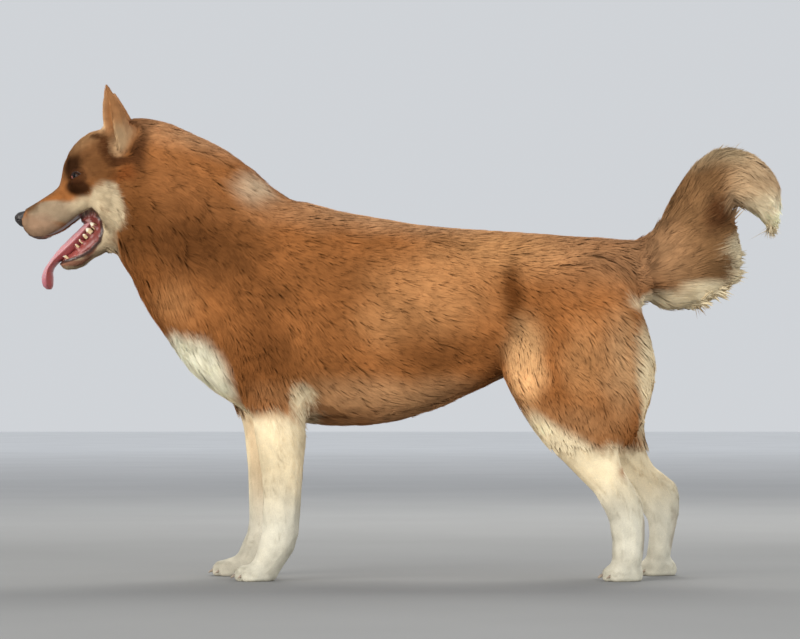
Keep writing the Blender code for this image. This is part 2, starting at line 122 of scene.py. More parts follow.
def read(collection, key, width, kind=np.float32):
    out = np.empty(len(collection) * width, kind)
    collection.foreach_get(key, out)
    return out.reshape(-1, width) if width > 1 else out


def put_points(mesh, points):
    mesh.vertices.foreach_set("co", np.ascontiguousarray(points, np.float32).ravel())
    mesh.update()


def put_colours(mesh, colours):
    layer = mesh.attributes.new(COLOUR, "FLOAT_COLOR", "POINT")
    rows = np.ones((len(colours), 4), np.float32)
    rows[:, :3] = colours
    layer.data.foreach_set("color", rows.ravel())


def shade_smooth(mesh, on=True):
    mesh.polygons.foreach_set("use_smooth", np.full(len(mesh.polygons), on))


def surface_tree(mesh):
    faces = [tuple(p.vertices) for p in mesh.polygons]
    return BVHTree.FromPolygons([v.co for v in mesh.vertices], faces)


def toward(start, end, share):
    """Colours part of the way from one to another, by each point's share."""
    return start + (np.array(end) - start) * share


def dressed(item, slot, *nodes):
    """Hides the nodes that a finished piece stands for and attaches it to the body it rides on. The
    slot is not used.
    """
    if nodes:
        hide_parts(*nodes)
    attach(item, "root")


# ---------------------------------------------------------------- the lie of the coat

# Group, place (x, y, z), lie (x, out, z), depth over the skin, length and width of a tuft.
COAT = [
    ("face", (-642, 6, 655), (0.8, 0.05, 0.6), 1.2, 6, 0.9),  # bridge by the nose
    ("face", (-600, 10, 680), (0.8, 0.1, 0.6), 1.4, 7, 0.9),  # bridge
    ("face", (-625, 34, 632), (0.95, 0.15, 0.1), 1.6, 7, 0.9),  # whiskers
    ("face", (-590, 42, 630), (0.97, 0.1, 0.0), 1.8, 8, 1.0),  # side of the muzzle
    ("face", (-630, 20, 600), (0.8, 0.2, -0.5), 1.6, 7, 0.9),  # lip
    ("face", (-575, 15, 548), (0.8, 0.1, -0.1), 2.0, 9, 1.0),  # chin
    ("face", (-535, 20, 562), (0.9, 0.1, 0.1), 3.0, 12, 1.1),  # jaw
    ("face", (-588, 10, 705), (0.35, 0.2, 0.9), 2.0, 8, 0.9),  # stop
    ("face", (-572, 40, 735), (0.45, 0.4, 0.8), 2.4, 10, 1.0),  # brow
    ("face", (-556, 60, 682), (0.95, 0.25, -0.1), 2.4, 10, 1.0),  # under the eye
    ("face", (-555, 12, 768), (0.7, 0.1, 0.7), 3.2, 13, 1.1),  # forehead
    ("face", (-510, 12, 795), (1.0, 0.0, 0.15), 5.0, 18, 1.3),  # crown
    ("face", (-525, 68, 735), (0.95, 0.2, -0.1), 4.0, 15, 1.2),  # temple
    ("face", (-525, 74, 665), (0.95, 0.2, -0.2), 5.0, 18, 1.3),  # cheek
    ("face", (-520, 52, 612), (0.8, 0.3, -0.4), 2.5, 10, 1.1),  # corner of the mouth
    ("ruff", (-480, 80, 640), (0.8, 0.3, -0.5), 7.4, 34, 1.8),  # cheek ruff
    ("ear", (-512, 62, 790), (0.1, 0.3, 0.95), 1.6, 10, 1.0),  # front of the ear
    ("ear", (-484, 88, 790), (0.1, 0.2, 1.0), 2.4, 11, 1.0),  # back of the ear
    ("ear", (-507, 84, 845), (-0.05, 0.1, 1.0), 1.2, 7, 0.9),  # tip of the ear
    ("ruff", (-468, 84, 745), (0.85, 0.3, -0.45), 6.2, 30, 1.8),  # behind the ear
    ("ruff", (-440, 10, 800), (1.0, 0.0, -0.1), 8.1, 40, 2.0),  # nape
    ("ruff", (-350, 10, 772), (0.9, 0.0, -0.35), 10.5, 46, 2.2),
    ("ruff", (-265, 10, 722), (0.88, 0.0, -0.45), 10.5, 46, 2.2),
    ("ruff", (-420, 100, 715), (0.85, 0.1, -0.5), 10.5, 46, 2.2),
    ("ruff", (-390, 125, 630), (0.72, 0.05, -0.68), 13, 50, 2.3),
    ("ruff", (-350, 130, 540), (0.6, 0.0, -0.8), 13, 50, 2.3),
    ("ruff", (-300, 120, 640), (0.78, 0.0, -0.6), 10.5, 46, 2.2),
    ("ruff", (-486, 12, 585), (0.5, 0.0, -0.85), 8.1, 42, 2.0),  # throat
    ("ruff", (-450, 12, 500), (0.4, 0.0, -0.9), 11.2, 52, 2.3),
    ("ruff", (-402, 12, 415), (0.4, 0.0, -0.9), 10.5, 50, 2.3),  # breast
    ("ruff", (-350, 90, 400), (0.5, 0.0, -0.85), 9.3, 44, 2.2),
    ("ruff", (-330, 12, 330), (0.8, 0.0, -0.6), 8.7, 42, 2.2),
    ("body", (-180, 12, 655), (1.0, 0.0, -0.15), 8.1, 40, 2.3),  # withers
    ("body", (-240, 130, 500), (0.72, 0.0, -0.68), 7.4, 38, 2.3),  # shoulder
    ("body", (-225, 135, 380), (0.4, 0.05, -0.9), 6.2, 34, 2.1),  # upper arm
    ("body", (-120, 120, 330), (0.8, 0.0, -0.6), 6.8, 36, 2.2),  # behind the elbow
    ("body", (0, 12, 625), (1.0, 0.0, -0.05), 7.4, 36, 2.3),  # back
    ("body", (0, 125, 540), (0.97, 0.0, -0.25), 6.8, 36, 2.3),
    ("body", (0, 138, 440), (0.93, 0.0, -0.37), 6.8, 36, 2.3),  # ribs
    ("body", (0, 110, 330), (0.87, 0.0, -0.5), 7.4, 40, 2.3),
    ("body", (-150, 12, 272), (0.97, 0.0, -0.2), 7.4, 38, 2.3),  # brisket
    ("body", (50, 30, 292), (0.88, 0.0, -0.45), 9.3, 46, 2.3),  # belly
    ("body", (200, 30, 355), (0.92, 0.0, -0.2), 6.8, 38, 2.2),
    ("body", (190, 115, 470), (0.9, 0.0, -0.42), 6.8, 36, 2.3),  # flank
    ("body", (200, 12, 605), (1.0, 0.0, -0.03), 7.4, 38, 2.3),  # loin
    ("rear", (350, 12, 597), (1.0, 0.0, -0.1), 8.5, 42, 2.3),  # croup
    ("rear", (360, 100, 520), (0.85, 0.0, -0.5), 7.8, 40, 2.3),  # rump
    ("rear", (225, 130, 400), (0.4, 0.05, -0.9), 5.2, 30, 2.1),  # thigh
    ("rear", (320, 140, 380), (0.55, 0.0, -0.83), 5.9, 32, 2.1),
    ("rear", (330, 130, 285), (0.5, 0.0, -0.87), 4.5, 26, 1.9),
    ("rear", (320, 40, 350), (0.4, 0.0, -0.9), 3.9, 24, 1.9),  # inside of the thigh
    ("rear", (440, 105, 380), (0.72, 0.1, -0.68), 13, 54, 2.3),  # breeches
    ("rear", (428, 100, 295), (0.55, 0.0, -0.83), 8.5, 40, 2.2),
    ("rear", (445, 12, 470), (0.55, 0.2, -0.8), 9.1, 42, 2.2),
    ("leg", (340, 95, 205), (0.5, 0.0, -0.86), 4.0, 18, 1.7),  # hind shank
    ("leg", (430, 95, 190), (0.4, 0.0, -0.9), 4.5, 18, 1.7),
    ("leg", (420, 95, 145), (0.2, 0.0, -1.0), 3.5, 15, 1.6),  # hock
    ("leg", (490, 95, 150), (0.2, 0.0, -1.0), 3.5, 15, 1.6),
    ("leg", (390, 92, 80), (0.05, 0.0, -1.0), 3.0, 13, 1.5),
    ("leg", (470, 92, 80), (0.05, 0.0, -1.0), 3.0, 13, 1.5),
    ("leg", (375, 92, 25), (-0.7, 0.0, -0.5), 2.2, 9, 1.3),  # hind paws
    ("leg", (447, 92, 25), (-0.7, 0.0, -0.5), 2.2, 9, 1.3),
    ("leg", (-155, 100, 305), (0.6, 0.1, -0.8), 8, 28, 2.0),  # elbow
    ("leg", (-245, 90, 240), (0.1, 0.0, -1.0), 3.4, 15, 1.6),  # foreleg
    ("leg", (-165, 90, 220), (0.35, 0.0, -0.94), 5.0, 20, 1.7),
    ("leg", (-275, 90, 200), (0.1, 0.0, -1.0), 3.4, 15, 1.6),
    ("leg", (-205, 88, 100), (0.05, 0.0, -1.0), 3.0, 13, 1.5),
    ("leg", (-245, 86, 25), (-0.7, 0.0, -0.5), 2.2, 9, 1.3),  # forepaws
    ("leg", (-300, 86, 25), (-0.7, 0.0, -0.5), 2.2, 9, 1.3),
    ("tail", (425, 12, 600), (0.85, 0.0, 0.5), 9.6, 42, 2.4),  # root of the tail
    ("tail", (450, 20, 490), (0.92, 0.1, -0.3), 12, 52, 2.6),
    ("tail", (470, 55, 560), (0.8, 0.1, 0.5), 12, 52, 2.6),
    ("tail", (470, 12, 660), (0.5, 0.0, 0.85), 11.2, 50, 2.5),
    ("tail", (545, 20, 500), (0.95, 0.1, -0.15), 17.6, 62, 2.7),  # feathers
    ("tail", (600, 20, 560), (0.9, 0.1, 0.1), 16, 56, 2.7),
    ("tail", (530, 58, 620), (0.6, 0.1, 0.75), 12.8, 54, 2.6),
    ("tail", (505, 12, 715), (0.6, 0.0, 0.8), 12, 52, 2.5),  # turn of the hook
    ("tail", (600, 12, 752), (0.98, 0.0, -0.05), 12, 54, 2.5),
    ("tail", (600, 60, 700), (0.8, 0.1, -0.55), 12, 54, 2.5),
    ("tail", (665, 12, 690), (0.45, 0.0, -0.88), 11.2, 52, 2.5),
    ("tail", (610, 20, 640), (0.7, 0.1, -0.65), 9.6, 48, 2.4),
    ("tail", (662, 12, 620), (0.5, 0.0, -0.85), 7.2, 40, 2.3),  # tip
]
GROUPS = ("face", "ear", "ruff", "body", "rear", "leg", "tail")


EAR_TREES = [surface_tree(NODES[name + "_ear"].data) for name, _ in SIDES]
EAR_COAT = (1.7 * MM, 11 * MM, 1.0 * MM)  # depth, length and width of the ears' tufts
EAR_LIE = np.array([0.0, 0.12, 1.0])
BLEND = 16 * MM  # the size over which rows of the table run into each other


def ear_share(points):
    """1 on the ears, falling to 0 a little way off them."""
    away = np.full(len(points), 1.0)
    close = (points[:, 0] < -425 * MM) & (points[:, 2] > 720 * MM)
    for k in np.nonzero(close)[0].tolist():
        point = points[k].tolist()
        away[k] = min(tree.find_nearest(point)[3] for tree in EAR_TREES)
    return smooth(13 * MM, 4 * MM, away)


def coat_at(points):
    """Group number, lie, depth, length and width at each point, blended from the table."""
    places = np.array([row[1] for row in COAT], float) * MM
    facts = np.array([(*row[2], *row[3:]) for row in COAT], float)
    group_of = np.array([GROUPS.index(row[0]) for row in COAT])
    sides = np.where(points[:, 1] < 0, -1.0, 1.0)
    folded = np.array(points, float)
    folded[:, 1] *= sides
    far = ((folded[:, None, :] - places[None]) ** 2).sum(2)
    near = (far + BLEND**2) ** -2.0
    near /= near.sum(1, keepdims=True)
    found = near @ facts
    ear = ear_share(points)
    lie = unit(found[:, :3]) * (1 - ear[:, None]) + EAR_LIE * ear[:, None]
    lie[:, 1] *= sides
    facts = [found[:, 3 + k] * MM * (1 - ear) + EAR_COAT[k] * ear for k in range(3)]
    group = np.where(ear > 0.6, GROUPS.index("ear"), group_of[far.argmin(1)])
    return group, unit(lie), *facts


# ---------------------------------------------------------------- the markings

ALL = 400  # a radius that runs right through the body
EDGE_WANDER = 7  # how far the edges between colours wander
# A patch: colour, centre, radii, softness of its edge, strength.
PATCHES = [
    (TAN, (-340, 0, 775), (150, 90, 46), 0.5, 0.65),  # top of the neck, painted lighter: painted light from above
    (TAN, (100, 0, 632), (420, 105, 44), 0.6, 0.75),  # back, painted lighter along the top: painted light from above
    ((0.68, 0.52, 0.34), (-238, 78, 686), (36, 46, 34), 0.7, 0.85),  # painted highlight on the shoulder's top edge, at the foot of the nape
    ((0.235, 0.094, 0.032), (-400, 110, 620), (110, 90, 130), 0.6, 0.7),  # ruff
    ((0.105, 0.037, 0.010), (-356, 130, 580), (100, 60, 64), 0.8, 0.85),  # lower side of the neck
    ((0.125, 0.045, 0.012), (-444, 105, 610), (32, 60, 90), 0.7, 0.75),
    (ORANGE, (-420, 40, 500), (50, 60, 60), 0.6, 0.5),
    (DEEP, (-235, 140, 365), (50, 60, 80), 0.45, 0.75),  # upper arm
    (DEEP, (-240, 140, 490), (55, 60, 60), 0.8, 0.35),
    ((0.48, 0.225, 0.085), (62, 140, 497), (95, 70, 66), 0.75, 0.85),  # flank
    (GOLD, (-28, 140, 432), (45, 70, 40), 0.8, 0.35),
    (GOLD, (190, 90, 575), (110, 90, 46), 0.8, 0.7),  # loin
    (TAN, (355, 60, 560), (100, 120, 60), 0.8, 0.45),  # croup
    (GOLD, (-384, 100, 468), (42, 80, 34), 0.7, 0.3),  # over the breast
    ((0.105, 0.034, 0.008), (200, 130, 480), (17, 70, 80), 0.6, 0.95),  # painted shade in the fold of the flank
    # Painted shade: a darker band where the ribs turn under towards the belly.
    (DEEP, (95, 130, 398), (105, 60, 28), 0.7, 0.6),
    ((0.58, 0.32, 0.15), (-10, 110, 312), (170, 90, 36), 0.7, 0.7),  # belly
    (TAN, (60, 0, 285), (180, 60, 30), 0.6, 0.5),
    ((0.64, 0.36, 0.16), (216, 140, 372), (36, 70, 74), 0.5, 0.95),  # front of the thigh
    (GOLD, (320, 150, 372), (34, 70, 64), 0.7, 0.5),
    ((0.36, 0.185, 0.08), (300, 150, 262), (80, 70, 34), 0.6, 0.6),
    ((0.56, 0.32, 0.15), (386, 150, 372), (34, 70, 80), 0.7, 0.8),
    (CREAM, (372, 120, 208), (20, 70, 24), 0.4, 0.9),
    (CREAM, (320, 20, 330), (120, 34, 90), 0.4, 0.8),  # inside of the thighs
    (TAIL_BROWN, (560, 0, 640), (130, ALL, 190), 0.15, 0.94),  # tail
    (TAN, (455, 0, 560), (60, ALL, 60), 0.7, 0.5),
    (CREAM, (470, 0, 474), (62, ALL, 20), 0.35, 0.95),  # feathers
    (CREAM, (545, 0, 492), (66, ALL, 26), 0.35, 0.95),
    (CREAM, (604, 0, 545), (26, ALL, 56), 0.4, 0.95),
    ((0.42, 0.31, 0.18), (575, 0, 750), (80, ALL, 26), 0.6, 0.85),  # hook
    ((0.56, 0.385, 0.22), (636, 0, 680), (50, ALL, 66), 0.5, 0.95),
    (CREAM, (655, 0, 640), (40, ALL, 30), 0.5, 0.9),
    # Painted shade in the fold inside the hook, between the tail and its plume.
    (DARK, (560, 0, 640), (28, ALL, 34), 0.6, 0.92),
    ((0.95, 0.82, 0.58), (662, 0, 618), (26, ALL, 34), 0.5, 0.95),
    ((0.72, 0.58, 0.36), (468, 0, 345), (60, ALL, 118), 0.16, 0.92),  # breeches
    ((0.84, 0.80, 0.61), (-352, 0, 350), (82, 170, 76), 0.16, 0.97),  # breast
    (CREAM, (-300, 0, 292), (90, 62, 44), 0.3, 0.9),
    ((0.95, 0.78, 0.50), (-164, 120, 315), (23, 60, 23), 0.3, 0.98),  # point of the elbow
]
HEAD_PATCHES = [
    ((0.25, 0.110, 0.042), (-548, 0, 745), (70, 120, 62), 0.25, 0.9),  # hood
    ((0.46, 0.26, 0.12), (-548, 0, 780), (52, 80, 30), 0.5, 0.85),  # forehead
    ((0.32, 0.24, 0.155), (-588, 40, 640), (62, 44, 20), 0.15, 0.95),  # side of the muzzle
    ((0.52, 0.42, 0.27), (-509, 90, 634), (37, 70, 60), 0.12, 0.95),  # cheek
    (FACE_CREAM, (-545, 60, 648), (30, 60, 18), 0.3, 0.9),
    (FACE_CREAM, (-503, 0, 595), (26, 70, 42), 0.2, 0.9),
    (FACE_CREAM, (-560, 0, 552), (66, 60, 34), 0.2, 0.85),  # jaw
    ((0.36, 0.235, 0.15), (-624, 25, 612), (34, 40, 24), 0.3, 0.9),  # lip
    ((0.15, 0.075, 0.034), (-642, 0, 651), (22, 34, 13), 0.4, 0.9),  # bridge by the nose
    ((0.19, 0.095, 0.042), (-604, 0, 678), (46, 30, 20), 0.5, 0.85),
    ((0.14, 0.058, 0.020), (-521, 70, 712), (42, 50, 24), 0.6, 0.8),  # temple
    ((0.18, 0.054, 0.014), (-468, 85, 700), (16, 50, 16), 0.5, 0.9),
    ((0.05, 0.017, 0.007), (-444, 95, 744), (17, 60, 46), 0.5, 0.82),  # painted shade behind the ear
    ((0.46, 0.31, 0.17), (-483, 90, 768), (18, 50, 36), 0.5, 0.85),
    (FACE_CREAM, (-494, 90, 672), (15, 60, 15), 0.3, 0.9),
    ((0.030, 0.011, 0.004), (-561, 52, 724), (17, 36, 24), 0.45, 0.95),  # mask, with painted shade under the brow
    ((0.030, 0.011, 0.004), (-557, 60, 680), (24, 36, 15), 0.3, 0.97),  # mask under the eye
    ((0.060, 0.021, 0.008), (-556, 60, 700), (17, 36, 16), 0.4, 0.85),
    (DEEP, (-511, 80, 686), (5, 30, 4), 0.4, 0.7),
    (DEEP, (-506, 80, 637), (6, 30, 5), 0.4, 0.7),
]
# A stroke: colour, its way in x and z, radius, least distance from the middle, strength.
STROKES = [
    (DARK, ((-536, 777), (-512, 763), (-506, 744), (-488, 727), (-460, 721)), 7, 40, 0.95),
    ((0.10, 0.04, 0.02), ((-590, 600), (-562, 616), (-538, 634)), 4, 15, 0.85),  # painted shadow along the upper lip
    ((0.075, 0.03, 0.018), ((-536, 638), (-521, 626), (-514, 606), (-518, 587), (-535, 571)),
     5, 22, 0.9),  # painted shade at the corner of the mouth
    ((0.25, 0.090, 0.055), ((-524, 578), (-548, 556), (-592, 546)), 7, 12, 0.85),  # lower lip
    (DEEP, ((426, 104), (428, 60)), 8, 60, 0.25),  # painted shade behind the hind feet
    (DEEP, ((489, 108), (484, 58)), 7, 60, 0.25),
]


def near_stroke(x, z, way):
    """Distance of points in the side view from a broken line."""
    best = np.full(len(x), 1e9)
    for (x0, z0), (x1, z1) in zip(way, way[1:]):
        dx, dz = x1 - x0, z1 - z0
        t = np.clip(((x - x0) * dx + (z - z0) * dz) / (dx * dx + dz * dz), 0, 1)
        best = np.minimum(best, np.hypot(x - x0 - t * dx, z - z0 - t * dz))
    return best


def lay_legs(lay, x, y, z):
    """The forelegs below the elbow, with painted shade inside, and the hind legs below a line that
    slopes to the hock.
    """
    lay(CREAM, 0.95 * smooth(296, 272, z) * smooth(-132, -142, x))
    # Painted shade on the forelegs' inner sides, where they face each other.
    lay(TAN, 0.3 * smooth(80, 62, y) * smooth(290, 270, z) * (x < -60))
    slope = np.where(x < 353, 293 - 0.5 * (x - 213), 223 - 1.7 * (x - 353))
    lay(CREAM, 0.95 * smooth(12, -12, z - np.maximum(slope, 150)) * (x > 205) * (z < 330))
    lay(CREAM, 0.95 * smooth(236, 214, z) * (x > 385))
    lay(LEG_WHITE, 0.8 * smooth(200, 90, z))


def lay_crown(lay, x, y, z):
    """The pale line down the middle of the forehead, and the ears with their pale rims."""
    lay(PALE, 0.7 * smooth(20, 5, y) * smooth(688, 720, z) * smooth(-488, -500, x) * (z < 815))
    ear = smooth(770, 800, z) * smooth(30, 38, y) * (x < -470)
    lay(EAR_BROWN, 0.85 * ear)
    lay(TAN, 0.7 * ear * smooth(-496, -505, x))
    lay(PALE, 0.9 * smooth(780, 795, z) * smooth(30, 38, y) * smooth(-507, -514, x))


def markings(points):
    """The coat's colour at points of the body."""
    wander = np.stack([waves(points, 0.030, 5 + k) for k in range(3)], 1)
    at = points / MM + EDGE_WANDER * wander
    at[:, 1] = np.abs(at[:, 1])
    x, y, z = at.T
    colour = np.tile(np.array(RED), (len(at), 1))
    shade = 1 + 0.16 * waves(points, 0.045, 21) + 0.08 * waves(points, 0.012, 22)

    def lay(paint, share):
        colour[:] += (np.array(paint) - colour) * share[:, None]

    def patch(paint, centre, radii, soft, strength):
        away = np.sqrt((((at - centre) / radii) ** 2).sum(1))
        lay(paint, strength * smooth(1 + soft, 1 - soft, away))

    for row in PATCHES:
        patch(*row)
    lay_legs(lay, x, y, z)
    for row in HEAD_PATCHES:
        patch(*row)
    lay_crown(lay, x, y, z)
    for paint, way, radius, out, strength in STROKES:
        away = near_stroke(x, z, way)
        lay(paint, strength * smooth(radius * 1.4, radius * 0.6, away) * (y > out))
    return np.clip(colour * shade[:, None], 0.004, 0.95)


# ---------------------------------------------------------------- the skin

FLESH = ["head", "lower_jaw", "neck", "trunk", "tail_base", "tail_plume"] + [
    f"{side}_{part}"
    for side, _ in SIDES
    for part in ("ear", "foreleg", "forepaw", "hind_thigh", "hind_shank", "hind_paw")
]
SEAM_COVER = 0.4 * MM  # each node grows by this, so that the thin cuts between them close
GRAIN = 3.0 * MM
FEET_TOP = 65 * MM
SOLE = 0.2 * MM
ROUNDS_ALL, ROUNDS_BODY = 3, 26  # how often the whole skin and the coarser parts are smoothed
INSET_STEPS = 8
BODY_TRIANGLES = 70000
# The line of the lower teeth in the side view, which is the jaw's upper edge.
TOOTH_LINE = ((-529, 616), (-584, 556))


def flesh():
    """One mesh of the CAD's nodes of flesh, each a little larger all round."""
    whole = bmesh.new()
    for name in FLESH:
        part = bmesh.new()
        part.from_mesh(NODES[name].data)
        bmesh.ops.remove_doubles(part, verts=part.verts, dist=1e-6)
        part.normal_update()
        for vert in part.verts:
            vert.co += vert.normal * SEAM_COVER
        mesh = bpy.data.meshes.new(name + "_grown")
        part.to_mesh(mesh)
        part.free()
        whole.from_mesh(mesh)
        bpy.data.meshes.remove(mesh)
    mesh = bpy.data.meshes.new("flesh")
    whole.to_mesh(mesh)
    whole.free()
    return mesh


def fused(mesh):
    """The mesh's parts as one surface."""
    item = link("fusing", mesh)
    remesh = item.modifiers.new("fuse", "REMESH")
    remesh.mode = "VOXEL"
    remesh.voxel_size = GRAIN
    return baked(item)


def relaxed(points, edges, share, rounds):
    """Smooths the points along the edges without shrinking them much."""
    count = len(points)
    degree = np.maximum(np.bincount(edges.ravel(), minlength=count), 1)[:, None]
    a, b = edges.T
    for _ in range(rounds):
        for pull in (0.5, -0.51):
            total = [
                np.bincount(a, points[b, k], count) + np.bincount(b, points[a, k], count)
                for k in range(3)
            ]
            points = points + pull * share * (np.stack(total, 1) / degree - points)
    return points


def keeps_detail(points):
    """Whether points are on the face, the ears or the feet, which keep their fine shape."""
    x, y, z = points.T / MM
    face = (x < -470) & (z > 500) | (x < -430) & (z > 742) & (np.abs(y) > 30)
    return face | (points[:, 2] < FEET_TOP)


def tooth_frame(points):
    """Distance along the tooth line from the corner of the mouth, and height over it."""
    (x0, z0), (x1, z1) = TOOTH_LINE
    length = math.hypot(x1 - x0, z1 - z0)
    along = ((x1 - x0) / length, (z1 - z0) / length)
    out = (along[1], -along[0])
    x, z = points[:, 0] / MM - x0, points[:, 2] / MM - z0
    return x * along[0] + z * along[1], x * out[0] + z * out[1], out


def without_teeth(points):
    """Presses the teeth's stumps down to the jaw's upper edge."""
    along, height, out = tooth_frame(points)
    stump = (along > -2) & (along < 96) & (height > 0.5) & (height < 17)
    stump &= np.abs(points[:, 1]) < 42 * MM
    drop = np.where(stump, height - 0.5, 0) * MM
    points = points.copy()
    points[:, 0] -= drop * out[0]
    points[:, 2] -= drop * out[1]
    return points


MOUTH_WEB = ((-530, 0, 622), (25, 26, 14))  # flesh that closes the corner of the mouth


def with_web(mesh):
    """Adds the web of the mouth's corner to the flesh."""
    bm = bmesh.new()
    bm.from_mesh(mesh)
    centre, radii = MOUTH_WEB
    place = Matrix.Translation(Vector(centre) * MM) @ Matrix.Diagonal((*(r * MM for r in radii), 1))
    bmesh.ops.create_icosphere(bm, subdivisions=4, radius=1, matrix=place)
    bm.to_mesh(mesh)
    bm.free()
    return mesh


def make_skin():
    """The skin's mesh, inside the CAD's surface by the coat's depth, and a tree of the latter."""
    mesh = fused(with_web(flesh()))
    points = read(mesh.vertices, "co", 3).astype(float)
    edges = read(mesh.edges, "vertices", 2, np.int32)
    points = without_teeth(points)
    fine = keeps_detail(points)
    share = np.where(fine, 0.55, 1.0)[:, None]
    points = relaxed(points, edges, np.ones((len(points), 1)), ROUNDS_ALL)
    points = relaxed(points, edges, np.where(fine, 0.0, 1.0)[:, None], ROUNDS_BODY)
    put_points(mesh, points)
    outline = surface_tree(mesh)
    _, _, depth, _, _ = coat_at(points)
    wet, _, _ = mouth_at(points, read(mesh.vertex_normals, "vector", 3))
    depth *= smooth(2 * MM, 12 * MM, points[:, 2]) * (1 - 0.8 * wet)
    for _ in range(INSET_STEPS):
        put_points(mesh, points)
        normals = read(mesh.vertex_normals, "vector", 3)
        points = points - normals * (depth / INSET_STEPS)[:, None]
        points = relaxed(points, edges, share * 0.8, 1)
    points[:, 2] = np.maximum(points[:, 2], SOLE)
    put_points(mesh, points)
    return detailed(lightened(mesh, points)), outline


def lightened(mesh, points):
    """Collapses the body's faces and leaves the face and feet alone."""
    item = link("lightening", mesh)
    coarse = np.nonzero(~keeps_detail(points))[0]
    group = item.vertex_groups.new(name="coarse")
    group.add(coarse.tolist(), 1.0, "REPLACE")
    kept = int(1.9 * (len(points) - len(coarse)))  # nearly two faces for each point that stays
    decimate = item.modifiers.new("lighten", "DECIMATE")
    decimate.ratio = (BODY_TRIANGLES + kept) / (2.0 * len(mesh.polygons))
    decimate.vertex_group = group.name
    decimate.use_collapse_triangulate = True
    return baked(item)


# ---------------------------------------------------------------- mouth and eyes

# The edge of the lips in the side view, from the nose round the corner of the mouth to the chin.
UPPER_LIP = [
    (-659, 612), (-651, 600), (-636, 593), (-612, 593), (-590, 601), (-562, 621), (-543, 635)
]
CORNER_LIP = [(-543, 635), (-528, 636), (-518, 623), (-514, 605), (-519, 588)]
LOWER_LIP = [(-519, 588), (-534, 573), (-550, 563), (-567, 557), (-590, 551), (-602, 553)]
LIPS = UPPER_LIP + CORNER_LIP[1:] + LOWER_LIP[1:]
OPENING = LIPS + [(-640, 560)]
MOUTH_X, MOUTH_Z = (-668, -500), (530, 650)
# Half the palate's width, at places from the nose back.
PALATE_AT = (-650, -634, -612, -592, -570, -545)
PALATE_HALF = (16, 29, 34, 37, 40, 42)
PALATE_RISE = 7 * MM
LIP_RADIUS = 3.2  # half the width of the bare rim of a lip

EYE_R = 12 * MM
EYE_LOOK = (-0.62, 0.76, 0.08)
EYE_SLANT = 14  # degrees by which the outer corner is the higher
LID_WIDTH = (0.98, 0.88)  # from the eye's axis to the inner and outer corners, as angles
LID_HEIGHT = (0.42, 0.32)  # the same for the upper and the lower lid
LID_HOLE = 15 * MM
EYE_PIT = 16.5 * MM
# The lid's rings, from the face inwards: share of the face, spread, height over the eyeball.
LID_RINGS = [
    (0.72, 1.70, 3.2),
    (0.38, 1.56, 2.6),
    (0.08, 1.42, 1.5),
    (0.0, 1.30, 1.9),
    (0.0, 1.17, 2.2),
    (0.0, 1.07, 1.8),
    (0.0, 1.01, 1.0),
    (0.0, 0.99, 0.2),
    (0.0, 1.02, -0.9),
    (0.0, 0.85, -3.0),
]
BARE_RING = 5


def inside(x, z, outline):
    """Whether points lie within a closed outline."""
    found = np.zeros(len(x), bool)
    for (x0, z0), (x1, z1) in zip(outline, outline[1:] + outline[:1]):
        if z0 == z1:
            continue
        crossing = (z0 > z) != (z1 > z)
        found ^= crossing & (x < (x1 - x0) * (z - z0) / (z1 - z0) + x0)
    return found


def mouth_at(points, normals):
    """Shares, from 0 to 1, of wet lining, of bare lip and of palate at points of the skin."""
    x, y, z = (points / MM).T
    near = (x < MOUTH_X[1]) & (x > MOUTH_X[0]) & (z > MOUTH_Z[0]) & (z < MOUTH_Z[1])
    away = near_stroke(x, z, LIPS)
    within = inside(x, z, OPENING)
    deep = np.where(within, away, -away)
    wet = smooth(1.2, 2.6, deep) * near
    under = smooth(-0.25, -0.6, normals[:, 2]) * smooth(13, 9, away) * smooth(-522, -530, x)
    half = np.interp(x, PALATE_AT, PALATE_HALF)
    palate = under * smooth(0.84, 0.70, np.abs(y) / half) * near * (z > 588) * smooth(-646, -634, x)
    lip = smooth(LIP_RADIUS + 1.2, LIP_RADIUS - 0.4, away) * near * (np.abs(y) > 5)
    wet = np.maximum(wet, palate)
    return wet, lip * (1 - wet), palate


def node_points(name):
    return np.array([v.co for v in NODES[name].data.vertices])


def box_middle(points):
    return (points.min(0) + points.max(0)) / 2


def eye_frame(side):
    """An eyeball's middle and its axes: outwards, towards its outer corner, and up."""
    centre = box_middle(node_points(("left" if side < 0 else "right") + "_eye"))
    look = Vector((EYE_LOOK[0], side * EYE_LOOK[1], EYE_LOOK[2])).normalized()
    out = look.cross(Vector((0, 0, 1))).normalized() * side
    up = out.cross(look) * side
    level, tilt = math.cos(math.radians(EYE_SLANT)), math.sin(math.radians(EYE_SLANT))
    out, up = out * level + up * tilt, up * level - out * tilt
    return centre, np.array(look), np.array(out), np.array(up)


def near_eye(points):
    """Distance of points from the nearer eye's middle, and the direction away from its axis."""
    away = np.full(len(points), 9.0)
    direction = np.zeros_like(points)
    for _, side in SIDES:
        centre, look, _, _ = eye_frame(side)
        offset = points - centre
        distance = np.linalg.norm(offset, axis=1)
        radial = unit(offset - look * (offset @ look)[:, None])
        nearer = distance < away
        away[nearer] = distance[nearer]
        direction[nearer] = radial[nearer]
    return away, direction


def lid_point(axes, turn, spread, height):
    """A point of the eyelids: its turn round the opening, its spread from it, its height."""
    centre, look, out, up = axes
    across = math.cos(turn)
    rise = math.sin(turn) * abs(math.sin(turn)) ** 0.8
    h = across * LID_WIDTH[0 if across < 0 else 1] * spread
    v = rise * LID_HEIGHT[0 if rise > 0 else 1] * spread - 0.07 * max(-across, 0) ** 3
    angle = math.hypot(h, v)
    if angle < 1e-6:
        return centre + look * (EYE_R + height * MM)
    sideways = (out * h + up * v) / angle
    return centre + (look * math.cos(angle) + sideways * math.sin(angle)) * (EYE_R + height * MM)


